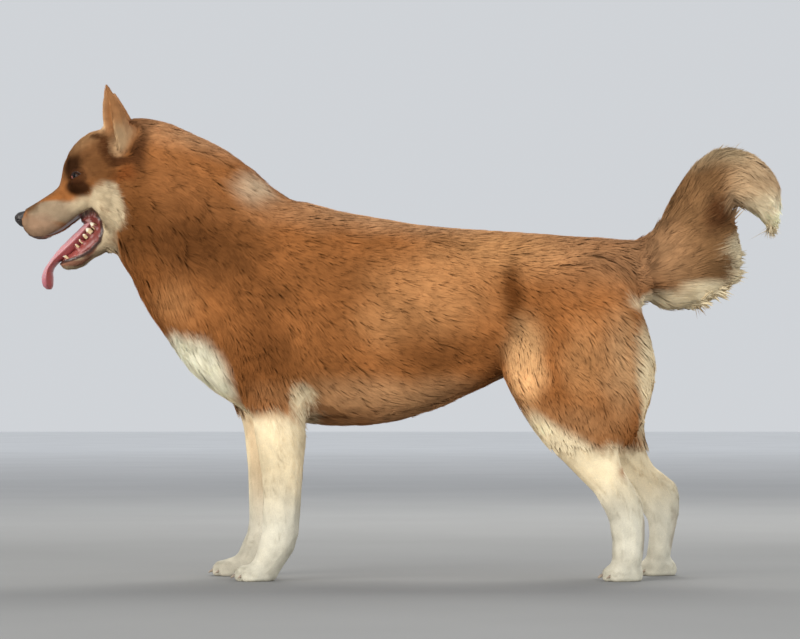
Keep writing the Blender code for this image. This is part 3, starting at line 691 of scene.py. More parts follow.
def hole_edge(bm):
    """The points round the mesh's only hole, in order."""
    edges = [e for e in bm.edges if e.is_boundary]
    start = edges[0].verts[0]
    ring = [start]
    before = None
    while True:
        ahead = [e for e in ring[-1].link_edges if e.is_boundary and e is not before]
        before = ahead[0]
        after = before.other_vert(ring[-1])
        if after is start:
            break
        ring.append(after)
    assert len(ring) == len(edges), "the hole for an eye has one edge"
    return ring


def fit_lids(bm, bare, side):
    """Opens the skin round an eye and grows the eyelids in from the cut."""
    axes = eye_frame(side)
    centre, look, out, up = axes

    def in_hole(vert):
        offset = np.array(vert.co) - centre
        along = offset @ look
        in_front = 0 < along and np.linalg.norm(offset - along * look) < LID_HOLE
        return in_front or np.linalg.norm(offset) < EYE_PIT

    near = [v for v in bm.verts if (v.co - Vector(centre)).length < 3 * EYE_R]
    bmesh.ops.delete(bm, geom=[v for v in near if in_hole(v)], context="VERTS")
    ring = hole_edge(bm)
    turns = []
    for vert in ring:
        offset = np.array(vert.co) - centre
        turns.append(math.atan2(offset @ up / LID_HEIGHT[0], offset @ out / LID_WIDTH[1]))
    faces = []
    outer = ring
    for number, (share, spread, height) in enumerate(LID_RINGS):
        inner = []
        for vert, turn in zip(ring, turns):
            lid = Vector(lid_point(axes, turn, spread, height))
            made = bm.verts.new(lid.lerp(vert.co, share))
            made[bare] = 1.0 if number >= BARE_RING else 0.0
            inner.append(made)
        for k in range(len(ring)):
            after = (k + 1) % len(ring)
            faces.append(bm.faces.new((outer[k], outer[after], inner[after], inner[k])))
        outer = inner
    middle = bm.verts.new(Vector(centre + look * (EYE_R - 5 * MM)))
    middle[bare] = 1.0
    for k in range(len(ring)):
        faces.append(bm.faces.new((outer[k], outer[(k + 1) % len(ring)], middle)))
    bm.normal_update()
    inward = sum(f.calc_area() * f.normal.dot(Vector(look)) for f in faces[: len(ring) * 5])
    if inward < 0:
        bmesh.ops.reverse_faces(bm, faces=faces)
    bmesh.ops.triangulate(bm, faces=faces)


def detailed(mesh):
    """Gives the skin its lips, palate and eyelids. The attribute "bare" marks furless skin."""
    bm = bmesh.new()
    bm.from_mesh(mesh)
    places = np.array([v.co for v in bm.verts])
    x, _, z = (places / MM).T
    fine = (near_stroke(x, z, LIPS) < 12) | inside(x, z, OPENING)
    fine &= (x < MOUTH_X[1]) & (z > MOUTH_Z[0])
    fine |= near_eye(places)[0] < 28 * MM
    bm.verts.ensure_lookup_table()
    edges = [e for e in bm.edges if fine[e.verts[0].index] and fine[e.verts[1].index]]
    bmesh.ops.subdivide_edges(bm, edges=edges, cuts=1, use_grid_fill=True, smooth=0.6)
    bmesh.ops.triangulate(bm, faces=[f for f in bm.faces if len(f.verts) > 3])
    bare = bm.verts.layers.float.new("bare")
    for _, side in SIDES:
        fit_lids(bm, bare, side)
    bm.to_mesh(mesh)
    bm.free()
    points = read(mesh.vertices, "co", 3).astype(float)
    edges = read(mesh.edges, "vertices", 2, np.int32)
    wet, lip, palate = mouth_at(points, read(mesh.vertex_normals, "vector", 3))
    calm = (near_stroke(points[:, 0] / MM, points[:, 2] / MM, LIPS) < 14).astype(float)
    calm *= points[:, 0] < MOUTH_X[1] * MM
    calm *= near_eye(points)[0] > 20 * MM
    points = relaxed(points, edges, 0.7 * calm[:, None], 3)
    put_points(mesh, points)
    normals = read(mesh.vertex_normals, "vector", 3).astype(float)
    points[:, 2] += PALATE_RISE * palate
    points += normals * (1.5 * MM * lip - 0.8 * MM * (wet - palate).clip(0))[:, None]
    points += normals * (0.3 * MM * waves(points, 0.007, 77) * (wet - palate).clip(0))[:, None]
    put_points(mesh, points)
    marks = read(mesh.attributes["bare"].data, "value", 1)
    marks = np.maximum(marks, np.maximum(wet, lip))
    mesh.attributes["bare"].data.foreach_set("value", marks.astype(np.float32))
    return mesh


SKIN_SHADE = 0.98
LID_DARK = (0.018, 0.010, 0.008)
LID_PINK = (0.42, 0.13, 0.11)


def skin_colours(points, normals, bare):
    """The skin's colour: the coat's markings, a shade darker, its own in lids and mouth, and painted
    shade in the mouth.
    """
    colours = markings(points) * SKIN_SHADE
    wet, lip, palate = mouth_at(points, normals)
    away, _ = near_eye(points)
    at = points / MM
    lining = np.tile(np.array(GUM), (len(points), 1))
    # Painted shade: the lining darkens towards the back of the mouth and where it faces down.
    depth = np.maximum(0.5 * smooth(-560, -525, at[:, 0]), 0.85 * smooth(0, -0.5, normals[:, 2]))
    lining = toward(lining, MOUTH_SHADE, depth[:, None])
    ridges = 0.5 + 0.5 * np.sin(at[:, 0] / 8 * math.tau)
    lining *= (1 - 0.25 * palate * ridges)[:, None]
    colours = toward(colours, LIP, lip[:, None])
    colours = toward(colours, lining, wet[:, None])
    lid = (bare > 0.5) & (away < 20 * MM)
    for _, side in SIDES:
        centre, look, out, _ = eye_frame(side)
        corner = centre + (look * 0.6 - out * 0.8) * EYE_R
        pink = smooth(3.6 * MM, 1.8 * MM, np.linalg.norm(points - corner, axis=1)) * lid
        rim = lid * (np.abs(points - centre).max(1) < 2 * EYE_R)
        colours = toward(colours, LID_DARK, (rim * 0.95)[:, None])
        colours = toward(colours, LID_PINK, pink[:, None])
    return colours


# ---------------------------------------------------------------- eyes, nose, tongue, teeth, claws

IRIS_ANGLE = math.radians(52)
PUPIL_ANGLE = math.radians(17)
IRIS = ((0.030, 0.011, 0.004), (0.009, 0.004, 0.002))
SCLERA = (0.09, 0.045, 0.03)
CORNEA = 0.9 * MM  # how far it stands over the ball


def round_turns(count):
    return np.linspace(0, math.tau, count, endpoint=False)


def eye_colour(angle, turn):
    """The eye's colour at an angle from its axis and a turn about it."""
    t = (angle - PUPIL_ANGLE) / (IRIS_ANGLE - PUPIL_ANGLE)
    streak = 0.5 + 0.5 * math.sin(turn * 23 + 3 * math.sin(turn * 7))
    iris = np.array(IRIS[0]) * (0.75 + 0.4 * streak)
    iris = toward(iris, IRIS[1], smooth(0.45, 1.0, t))
    iris = toward(iris, IRIS[1], smooth(0.25, 0.0, t) * 0.5)
    return toward(iris * smooth(-0.10, 0.06, t), SCLERA, smooth(1.0, 1.16, t))


def make_eyes(finish):
    """Eyeballs with a raised cornea, whose clear coat covers the iris."""
    rings, around = 40, 64
    angles = np.linspace(0.02, 1.0, rings) ** 0.8 * 1.9
    for name, side in SIDES:
        centre, look, out, up = eye_frame(side)
        rows, colours = [], []
        for angle in angles:
            radius = EYE_R + CORNEA * smooth(IRIS_ANGLE, 0.0, angle)
            for turn in round_turns(around):
                sideways = out * math.cos(turn) + up * math.sin(turn)
                rows.append(centre + (look * math.cos(angle) + sideways * math.sin(angle)) * radius)
                colours.append(eye_colour(angle, turn))
        rows = np.array(rows).reshape(rings, around, 3)
        mesh = ring_mesh(name + "_eyeball", rows, np.array(colours))
        mesh.materials.append(finish)
        dressed(link(mesh.name, mesh), "eye", name + "_eye")


def ring_mesh(name, rings, colours):
    """A closed, coloured mesh through rings of points, with a fan at each end."""
    count, around, _ = rings.shape
    verts = np.concatenate([rings.reshape(-1, 3), [rings[0].mean(0), rings[-1].mean(0)]])
    faces = []
    for low in range(0, (count - 1) * around, around):
        for a in range(around):
            b = (a + 1) % around
            faces.append((low + a, low + b, low + around + b, low + around + a))
    first, last = count * around, count * around + 1
    for a in range(around):
        b = (a + 1) % around
        faces.append((first, b, a))
        faces.append((last, (count - 1) * around + a, (count - 1) * around + b))
    bm = bmesh.new()
    made = [bm.verts.new(v) for v in verts.tolist()]
    for face in faces:
        bm.faces.new([made[k] for k in face])
    bmesh.ops.recalc_face_normals(bm, faces=bm.faces)
    mesh = bpy.data.meshes.new(name)
    bm.to_mesh(mesh)
    bm.free()
    shade_smooth(mesh)
    rows = np.asarray(colours, float).reshape(count, around, 3)
    ends = [rows[0].mean(0), rows[-1].mean(0)]
    put_colours(mesh, np.concatenate([rows.reshape(-1, 3), ends]))
    return mesh


def joined(name, meshes):
    """One mesh of several, with their colours."""
    colours, bm = [], bmesh.new()
    for mesh in meshes:
        bm.from_mesh(mesh)
        colours.append(read(mesh.attributes[COLOUR].data, "color", 4)[:, :3])
        bpy.data.meshes.remove(mesh)
    whole = bpy.data.meshes.new(name)
    bm.to_mesh(whole)
    bm.free()
    if COLOUR in whole.attributes:
        whole.attributes.remove(whole.attributes[COLOUR])
    put_colours(whole, np.concatenate(colours))
    shade_smooth(whole)
    return whole


NOSE_RADII = (14, 18, 14)
NOSE_PITCH = math.radians(-10)
NOSE_DARK = (0.030, 0.023, 0.022)
NOSTRIL_AT = (8.2, 1.5)  # from the middle plane and over the nose's middle


def make_nose(finish):
    """The nose leather: a broad top, a flatter front, comma-shaped nostrils and a groove."""
    corners = node_points("nose")
    centre = box_middle(corners)
    bm = bmesh.new()
    bmesh.ops.create_icosphere(bm, subdivisions=6, radius=1)
    mesh = bpy.data.meshes.new("nose_leather")
    bm.to_mesh(mesh)
    bm.free()
    ball = read(mesh.vertices, "co", 3).astype(float)
    power = (2.6 + 2.8 * smooth(0.15, -0.5, ball[:, 0]))[:, None]
    box = ball / (np.abs(ball) ** power).sum(1, keepdims=True) ** (1 / power)
    forward, side, up = box.T
    side = side * (1 - 0.20 * smooth(0.1, -1.0, up))
    slope = 1 - 0.10 * smooth(0.4, 1.0, up) - 0.26 * smooth(-0.1, -1.0, up)
    forward = forward * np.where(forward > 0, slope, 1.35)
    up = up * np.where(up > 0, 0.88, 1.14)
    x, y, z = forward * NOSE_RADII[0], side * NOSE_RADII[1], up * NOSE_RADII[2] * 0.96
    # Nostrils: a round hole with a raised rim and a slit that runs back from it.
    front = smooth(0.15, 0.6, forward)
    over = np.abs(y) - NOSTRIL_AT[0]
    hole = np.hypot(over / 3.6, (z - NOSTRIL_AT[1] - 0.10 * over**2 * (over > 0)) / 3.0)
    slit = np.hypot((over - 5.0) / 5.2, (z - NOSTRIL_AT[1] + 2.2 + 0.32 * (over - 2.0)) / 1.15)
    dent = 6.0 * smooth(1.15, 0.35, hole) + 2.6 * smooth(1.2, 0.3, slit)
    rim = 0.8 * np.exp(-(((hole - 1.45) / 0.35) ** 2))
    groove = 1.1 * np.exp(-((y / 1.0) ** 2)) * smooth(4, -3, z)
    x = x - front * (dent + groove - rim)
    ahead, rise = math.cos(NOSE_PITCH), math.sin(NOSE_PITCH)
    at = np.stack([-x * ahead + z * rise, y, z * ahead + x * rise], 1)
    scale = np.ptp(corners, axis=0)[1] / np.ptp(at[:, 1])
    points = centre + at * scale
    points += 0.12 * MM * waves(points, 0.0016, 9)[:, None] * unit(at)
    put_points(mesh, points)
    # Painted shade: the nostrils' holes and slits are painted darker.
    deep = (smooth(1.2, 0.5, hole) + smooth(1.3, 0.4, slit)).clip(0, 1) * front
    tone = (1 - 0.85 * deep) * (1 + 0.25 * waves(points, 0.006, 10))
    put_colours(mesh, np.array(NOSE_DARK) * tone[:, None])
    shade_smooth(mesh)
    mesh.materials.append(finish)
    dressed(link(mesh.name, mesh), "nose", "nose")


# Slices of the tongue: (x, z) above, (x, z) below, half width.
TONGUE = [
    ((-534, 631), (-525, 621), 14),
    ((-545, 624), (-531, 605), 20),
    ((-560, 609), (-545, 589), 22.5),
    ((-577, 593), (-561, 573), 20),
    ((-594, 576), (-578, 560), 17),
    ((-607, 558), (-594, 549), 21),
    ((-618, 541), (-602, 537.5), 24),
    ((-624, 525), (-602, 523.5), 24),
    ((-622, 511), (-602.5, 511), 19),
    ((-616, 504.5), (-606, 504.5), 10),
]
# The top's lighter pink is a painted reflection of the sky.
TONGUE_TOP_WITH_SHEEN = (0.72, 0.36, 0.38)
TONGUE_TIP = (0.42, 0.085, 0.125)
TONGUE_UNDER = (0.42, 0.10, 0.10)


def curve(rows, steps):
    """Points of a smooth curve through rows of numbers."""
    rows = np.asarray(rows, float)
    ends = np.concatenate([[2 * rows[0] - rows[1]], rows, [2 * rows[-1] - rows[-2]]])
    out = []
    for k in range(1, len(ends) - 2):
        a, b, c, d = ends[k - 1 : k + 3]
        for t in np.arange(steps) / steps:
            out.append(0.5 * (2 * b + (c - a) * t + (2 * a - 5 * b + 4 * c - d) * t**2
                              + (3 * b - a - 3 * c + d) * t**3))
    out.append(rows[-1])
    return np.array(out)


def make_tongue(finish):
    """The tongue: a groove along it, thin edges a little raised, and a hanging tip."""
    levels = curve([(*top, *low, half) for top, low, half in TONGUE], 9)
    turns = round_turns(56)
    rings, colours = [], []
    for number, (x0, z0, x1, z1, half) in enumerate(levels):
        share = number / (len(levels) - 1)
        top, low = np.array([x0, 0, z0]), np.array([x1, 0, z1])
        middle, rise = (top + low) / 2, (top - low) / 2
        across = np.sign(np.cos(turns)) * np.abs(np.cos(turns)) ** 0.9
        height = np.sin(turns)
        edge = np.abs(across) ** 3
        groove = 0.42 * np.exp(-((across * half / 4.2) ** 2)) * height
        high = height * (1 - 0.45 * edge) * 0.93 + np.where(height > 0, -groove, 0)
        high += 0.22 * edge * (1 - share)
        ring = middle + rise * high[:, None]
        ring[:, 1] = across * half * (1 + 0.03 * math.sin(share * 17))
        rings.append(ring * MM)
        # Painted reflection: the top is lighter than the tip and the underside.
        face = toward(np.array(TONGUE_TOP_WITH_SHEEN), TONGUE_TIP, smooth(0.50, 0.95, share) * 0.8)
        paint = toward(face, TONGUE_UNDER, smooth(0.25, -0.35, height)[:, None])
        colours.append(paint * (1 - 0.25 * np.abs(across) ** 6)[:, None])
    mesh = ring_mesh("tongue_flesh", np.array(rings), np.array(colours))
    points = read(mesh.vertices, "co", 3).astype(float)
    normals = read(mesh.vertex_normals, "vector", 3)
    put_points(mesh, points + normals * (0.22 * MM * waves(points, 0.005, 31))[:, None])
    mesh.materials.append(finish)
    dressed(link(mesh.name, mesh), "tongue", "tongue")


# A lower tooth: share along the tooth line, distance from the middle plane, length, height, kind.
TEETH = [
    (0.02, 29.5, 9.0, 7.5, "molar"),
    (0.17, 28.0, 10.0, 6.5, "molar"),
    (0.31, 26.5, 6.5, 3.8, "cusp"),
    (0.45, 25.0, 5.0, 2.6, "cusp"),
    (0.58, 23.5, 4.2, 2.0, "cusp"),
    (0.92, 20.5, 5.0, 3.6, "canine"),
]
TOOTH_ROOT = 7
IVORY = np.array([0.66, 0.59, 0.46])
ROOT_STAIN = np.array([0.15, 0.3, 0.5])  # how much of each colour a tooth loses by the gum


OUTWARD = np.array([0, 1, 0])


def canine_ring(foot, along, turns, length, side, crown):
    """A ring of a pointed tooth that bends back and out."""
    wide = 0.5 * length * (1 - crown**1.6) + 0.35
    ring = foot + along * (np.cos(turns) * wide + 2.6 * crown**2)[:, None]
    return ring + OUTWARD * (np.sin(turns) * wide * 0.8 + side * 1.6 * crown)[:, None]


def cheek_ring(foot, along, turns, length, crown):
    """A ring of a long, thin tooth."""
    wide = 0.5 * length * (1 - 0.55 * crown**1.4)
    thick = 0.27 * length * (1 - 0.72 * crown) + 0.2
    ring = foot + along * (np.cos(turns) * wide)[:, None]
    return ring + OUTWARD * (np.sin(turns) * thick)[:, None]


def tooth(share, out_y, length, height, kind, side):
    """One tooth, from its root in the gum to its cusp or cusps."""
    (x0, z0), (x1, z1) = TOOTH_LINE
    along, up = np.array([x1 - x0, 0, z1 - z0]), np.array([z1 - z0, 0, x0 - x1])
    foot = np.array([x0, side * out_y, z0]) + share * along
    along, up = along / np.linalg.norm(along), up / np.linalg.norm(up)
    turns = round_turns(20)
    rings, colours = [], []
    for t in np.linspace(0, 1, 12):
        rise = -TOOTH_ROOT + (height + TOOTH_ROOT) * t
        crown = max(rise, 0) / height
        if kind == "canine":
            ring = canine_ring(foot, along, turns, length, side, crown) + up * rise
        else:
            place = np.abs(np.cos(turns))
            lobes = -0.30 * height * crown * place**1.2
            if kind == "molar":
                lobes += 0.16 * height * crown * np.exp(-(((place - 0.75) / 0.22) ** 2))
            ring = cheek_ring(foot, along, turns, length, crown) + up * (rise + lobes)[:, None]
        rings.append(ring * MM)
        paint = IVORY * (1 - ROOT_STAIN * smooth(0.35, 0.0, crown))
        colours.append(np.tile(paint, (len(turns), 1)))
    return ring_mesh("tooth", np.array(rings), np.array(colours))


def make_teeth(finish):
    """The lower teeth, as one piece without a slot."""
    mesh = joined("lower_teeth", [tooth(*row, side) for row in TEETH for _, side in SIDES])
    mesh.materials.append(finish)
    item = link(mesh.name, mesh)
    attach(item, "root")


CLAW_DARK = (0.10, 0.072, 0.052)
CLAW_PALE = (0.36, 0.28, 0.20)
CLAW_RADIUS = 3.5 * MM
CLAW_TIP = 0.5 * MM  # radius at the tip, and least height over the floor
CLAW_ARCH = 1.6 * MM


def make_claws(finish):
    """Each claw is a tapered horn that bends down to its tip."""
    for name in sorted(name for name in NODES if "_claw_" in name):
        points = node_points(name)
        middle = points.mean(0)
        axis = np.linalg.svd(points - middle)[2][0]
        along = (points - middle) @ axis
        low, high = points[along < 0], points[along > 0]
        if np.ptp(low, axis=0).max() > np.ptp(high, axis=0).max():
            base, tip = low.mean(0), high.mean(0)
        else:
            base, tip = high.mean(0), low.mean(0)
        ahead = (tip - base) / np.linalg.norm(tip - base)
        side = np.array([0.0, 1.0, 0.0])
        up = np.cross(side, ahead)
        up *= np.sign(up[2]) or 1
        length = np.linalg.norm(tip - base)
        turns = round_turns(16)
        rings, colours = [], []
        for t in np.linspace(0, 1, 14):
            radius = CLAW_RADIUS * (1 - t) ** 0.75 + CLAW_TIP
            ring = base + ahead * length * t + up * (CLAW_ARCH * math.sin(t * math.pi))
            ring = ring + up * (np.sin(turns) * radius)[:, None]
            ring = ring + side * (np.cos(turns) * radius * 0.72)[:, None]
            ring[:, 2] = np.maximum(ring[:, 2], CLAW_TIP)
            rings.append(ring)
            colours.append(np.tile(toward(np.array(CLAW_DARK), CLAW_PALE, t), (len(turns), 1)))
        mesh = ring_mesh(name.replace("_claw_", "_nail_"), np.array(rings), np.array(colours))
        mesh.materials.append(finish)
        dressed(link(mesh.name, mesh), "claw", name)


def unwrapped(item):
    """Unwraps the skin by its own shape."""
    bpy.context.view_layer.objects.active = item
    item.select_set(True)
    bpy.ops.object.mode_set(mode="EDIT")
    bpy.ops.mesh.select_all(action="SELECT")
    bpy.ops.uv.smart_project(angle_limit=math.radians(66), island_margin=0.002)
    bpy.ops.object.mode_set(mode="OBJECT")
    item.select_set(False)


class Skin:
    """The skin's arrays, for rooting tufts in it."""

    def __init__(self, item, outline):
        mesh = item.data
        self.outline = outline
        mesh.calc_loop_triangles()
        self.points = read(mesh.vertices, "co", 3).astype(float)
        self.normals = read(mesh.vertex_normals, "vector", 3).astype(float)
        self.faces = read(mesh.loop_triangles, "vertices", 3, np.int32)
        loops = read(mesh.loop_triangles, "loops", 3, np.int32)
        self.uv = read(mesh.uv_layers.active.data, "uv", 2)[loops]
        a, b, c = (self.points[self.faces[:, k]] for k in range(3))
        self.area = np.linalg.norm(np.cross(b - a, c - a), axis=1) / 2
        self.centre = (a + b + c) / 3
        self.face_normals = unit(self.normals[self.faces].sum(1))
        self.bare = read(mesh.attributes["bare"].data, "value", 1)
        self.tree = BVHTree.FromPolygons(self.points.tolist(), self.faces.tolist())

    def nearest(self, points):
        """The nearest place on the skin to each point, and the smooth normal there."""
        places = np.empty_like(points)
        index = np.empty(len(points), np.int64)
        find = self.tree.find_nearest
        for k, point in enumerate(points.tolist()):
            place, _, face, _ = find(point)
            places[k] = place
            index[k] = face
        return places, self.face_normals[index]

    def kept_in(self, points, over):
        """The points, with those further than that over the coat's outline brought back to it."""
        find = self.outline.find_nearest
        out = np.empty_like(points)
        for k, (point, most) in enumerate(zip(points.tolist(), over.tolist())):
            place, normal, _, _ = find(point)
            offset = Vector(point) - place
            high = offset.length * (1 if offset.dot(normal) > 0 else -1)
            if high > most:
                point = place + offset * (most / high) if most > 0 else place + normal * most
            out[k] = point
        return out


# ---------------------------------------------------------------- tufts


def scatter(skin, weight, count):
    """Random roots on the skin: place, normal and place on the unwrap."""
    total = np.cumsum(skin.area * weight)
    spots = (np.arange(count) + rng.random(count)) / count * total[-1]
    face = np.minimum(np.searchsorted(total, spots), len(total) - 1)
    a, b = rng.random((2, count))
    over = a + b > 1
    a[over], b[over] = 1 - a[over], 1 - b[over]
    share = np.stack([1 - a - b, a, b], 1)[:, :, None]
    corners = skin.faces[face]
    roots = (skin.points[corners] * share).sum(1)
    normals = unit((skin.normals[corners] * share).sum(1))
    return roots, normals, (skin.uv[face] * share).sum(1)


def locks(roots, spread):
    """For each root, the number of its lock, where locks are about that far apart."""
    order = rng.permutation(len(roots))
    cells = {}
    middles = []
    for k in order.tolist():
        key = tuple(np.floor(roots[k] / spread).astype(int).tolist())
        if key not in cells:
            cells[key] = len(middles)
            middles.append(roots[k])
    tree = KDTree(len(middles))
    for k, middle in enumerate(middles):
        tree.insert(middle.tolist(), k)
    tree.balance()
    return np.array([tree.find(p)[1] for p in roots.tolist()]), np.array(middles)


SHARP_TURN = 0.35  # cosine of the turn of the skin at which a tuft runs straight on
ROOT_DEPTH = 0.5 * MM


def outwardness(lie, normals):
    """How far tufts stand out of the skin, where the coat's lie leaves it."""
    return 0.85 * smooth(0.62, 0.92, (lie * normals).sum(1))


def tuft_paths(skin, roots, normals, lie, depth, length, segments, lift):
    """The points of each tuft's spine from root to tip. A long tuft leaves the skin's curve."""
    along = (lie * normals).sum(1)
    flat = unit(lie - normals * along[:, None])
    outward = outwardness(lie, normals)
    free = np.maximum(0.35 * smooth(48 * MM, 66 * MM, length), outward)[:, None]
    length = length * (1 - outward) + np.minimum(length, depth + 6 * MM) * outward
    depth = depth * (1 - outward)
    path = [roots - normals * ROOT_DEPTH]
    heading = unit(flat * (1 - outward[:, None]) + lie * outward[:, None])
    base = roots
    place, normal = roots, normals
    for k in range(1, segments + 1):
        share = k / segments
        rise = depth * lift * share ** 0.5
        step = (length / segments)[:, None]
        ahead = base + heading * step * 0.95
        if segments > 1:
            found, turned = skin.nearest(ahead)
            held = (turned * normal).sum(1) > SHARP_TURN
            held &= np.linalg.norm(found - ahead, axis=1) < length / segments * 0.7
            held = held[:, None]
            place = np.where(held, found, ahead)
            normal = np.where(held, turned, normal)
            heading = unit(heading - normal * (heading * normal).sum(1, keepdims=True) * (1 - free))
        else:
            place = ahead
        base = place * (1 - free) + ahead * free
        path.append(base + normal * rise[:, None])
    return path


def tuft_mesh(name, path, normals, width, ridge, colours, uv, seeds, body):
    """Closed three-sided tufts with a ridge, tapering to a point, from their spines."""
    segments = len(path) - 1
    count = len(path[0])
    rings = []
    for k in range(segments):
        ahead = path[k + 1] - path[k]
        side = unit(np.cross(normals, ahead))
        up = unit(np.cross(ahead, side))
        up *= np.sign((up * normals).sum(1, keepdims=True))
        wide = (width * (0.8 if k == 0 else 1.0 - 0.35 * (k - 1)) / 2)[:, None]
        corners = [path[k] - side * wide, path[k] + up * wide * ridge, path[k] + side * wide]
        rings.append(np.stack(corners, 1))
    verts = np.concatenate(rings + [path[-1][:, None]], 1)
    per = 3 * segments + 1
    faces = [(0, 1, 2)]
    for k in range(segments - 1):
        low = 3 * k
        for a, b in ((0, 1), (1, 2), (2, 0)):
            faces.append((low + b, low + a, low + a + 3, low + b + 3))
    low = 3 * (segments - 1)
    faces += [(low + b, low + a, 3 * segments) for a, b in ((0, 1), (1, 2), (2, 0))]
    loop_index = np.concatenate([np.array(f) for f in faces])
    sizes = np.array([len(f) for f in faces])
    starts = np.concatenate([[0], np.cumsum(sizes)[:-1]])
    mesh = bpy.data.meshes.new(name)
    mesh.vertices.add(count * per)
    mesh.vertices.foreach_set("co", verts.astype(np.float32).ravel())
    shift = (np.arange(count) * per)[:, None]
    mesh.loops.add(count * len(loop_index))
    mesh.loops.foreach_set("vertex_index", (loop_index[None] + shift).astype(np.int32).ravel())
    mesh.polygons.add(count * len(faces))
    lead = (np.arange(count) * len(loop_index))[:, None]
    mesh.polygons.foreach_set("loop_start", (starts[None] + lead).astype(np.int32).ravel())
    shade_smooth(mesh, False)  # the finish blends each face's own normal with the body's
    mesh.update(calc_edges=True)
    # Each tuft is a small patch of the bake's map at its root's place on the skin's unwrap.
    u = np.concatenate([np.tile([-1.0, 0.0, 1.0], segments), [0.0]])
    v = np.concatenate([np.repeat(np.arange(segments), 3), [segments]]) / segments * 2 - 1
    patch = np.stack([u, v], 1) * BAKE_PATCH / 2
    layer = mesh.uv_layers.new(name="OFBake")
    placed = uv[:, None, :] + patch[None]
    layer.data.foreach_set("uv", placed[:, loop_index].astype(np.float32).ravel())
    rows = [np.repeat(colours[:, k], 3, axis=0).reshape(count, 3, 3) for k in range(segments)]
    rows = np.concatenate(rows + [colours[:, segments][:, None]], 1)
    put_colours(mesh, rows.reshape(-1, 3))
    facts = np.empty((count, per, 3), np.float32)
    facts[:, :, 0] = u
    facts[:, :, 1] = v
    facts[:, :, 2] = seeds[:, None]
    for key, rows in (("strand", facts), ("form", np.repeat(body, per, axis=0))):
        layer = mesh.attributes.new(key, "FLOAT_VECTOR", "POINT")
        layer.data.foreach_set("vector", rows.astype(np.float32).ravel())
    return mesh


BAKE_PATCH = 0.003
NOSE_MIDDLE = (-656, 0, 629)
# How a group grows: number of tufts, segments of a tuft, distance between locks, pull towards a
# lock's middle, how light a tuft's root and tip are beside the coat's colour, the most that
# locks stand past the outline, the share of the coat's depth that tufts rise, how much wider
# they are drawn, a tuft's height beside half its width, and how far locks differ in lie and shade.
Growth = namedtuple(
    "Growth",
    "count segments spread pull tones fringe lift cover ridge lock_lie lock_shade",
    defaults=(0, 1.0, 1.0, 0.3, 0.09, 0.045),
)
# Tones below 1 at a root are painted shade deep in the coat; above 1 at a tip, painted light.
GROWTH = {
    "face": Growth(46000, 1, 7, 0.10, (0.92, 1.05), lift=0.25),
    "ear": Growth(11000, 1, 6, 0.0, (0.92, 1.05), lift=0.25),
    "ruff": Growth(36000, 2, 18, 0.3, (0.84, 1.12), 3, 1.0, 1.25, 0.2, 0.14, 0.06),
    "body": Growth(34000, 2, 14, 0.14, (0.90, 1.06), 2, cover=1.4),
    "rear": Growth(19000, 2, 14, 0.18, (0.90, 1.06), 3, cover=1.4),
    "leg": Growth(36000, 1, 8, 0.05, (0.98, 1.03), 0, 0.08, 1.2, 0.1, 0.06, 0.02),
    "tail": Growth(27000, 2, 20, 0.62, (0.86, 1.10), 4, cover=1.2),
}
MOST_TRIANGLES = 196000
FLOOR_GAP = 0.6 * MM
BARE_SOLE = 6 * MM  # no tuft has its root lower than this


def by_features(roots, lie):
    """The lie of tufts turned away from the eyes, and their length's share by eyes and nose."""
    away, radial = near_eye(roots)
    lie = unit(lie + radial * (1.6 * smooth(22 * MM, 11 * MM, away))[:, None])
    to_nose = np.linalg.norm(roots - np.array(NOSE_MIDDLE) * MM, axis=1)
    close = np.maximum(smooth(30 * MM, 12 * MM, away), smooth(34 * MM, 16 * MM, to_nose))
    return lie, 1 - 0.55 * close


def in_locks(skin, path, lean, lock, some, length, depth, fringe):
    """Draws tufts in towards the middle of their lock, and keeps them in the coat's outline."""
    segments, count = len(path) - 1, len(lock)
    fringe = fringe * rng.random(some)[lock] ** 2
    for k in range(1, segments + 1):
        share = k / segments
        path[k] = path[k] - lean * share ** 1.3
        reach = (rng.uniform(-0.25, 0.1, some)[lock] + rng.uniform(-0.12, 0.08, count)) * share
        loose = reach * depth + 1.0 * MM * (share - 0.5) + fringe * share
        kept = skin.kept_in(path[k], loose)
        far = np.linalg.norm(kept - path[k], axis=1, keepdims=True) > 10 * MM
        path[k] = np.where(far, path[k - 1] + 0.4 * (path[k] - path[k - 1]), kept)
        step = path[k] - path[k - 1]
        most = 1.2 * length / segments + 0.6 * depth
        most = most / np.maximum(np.linalg.norm(step, axis=1), 1e-6)
        path[k] = path[k - 1] + step * np.minimum(most, 1)[:, None]
        path[k][:, 2] = np.maximum(path[k][:, 2], FLOOR_GAP)


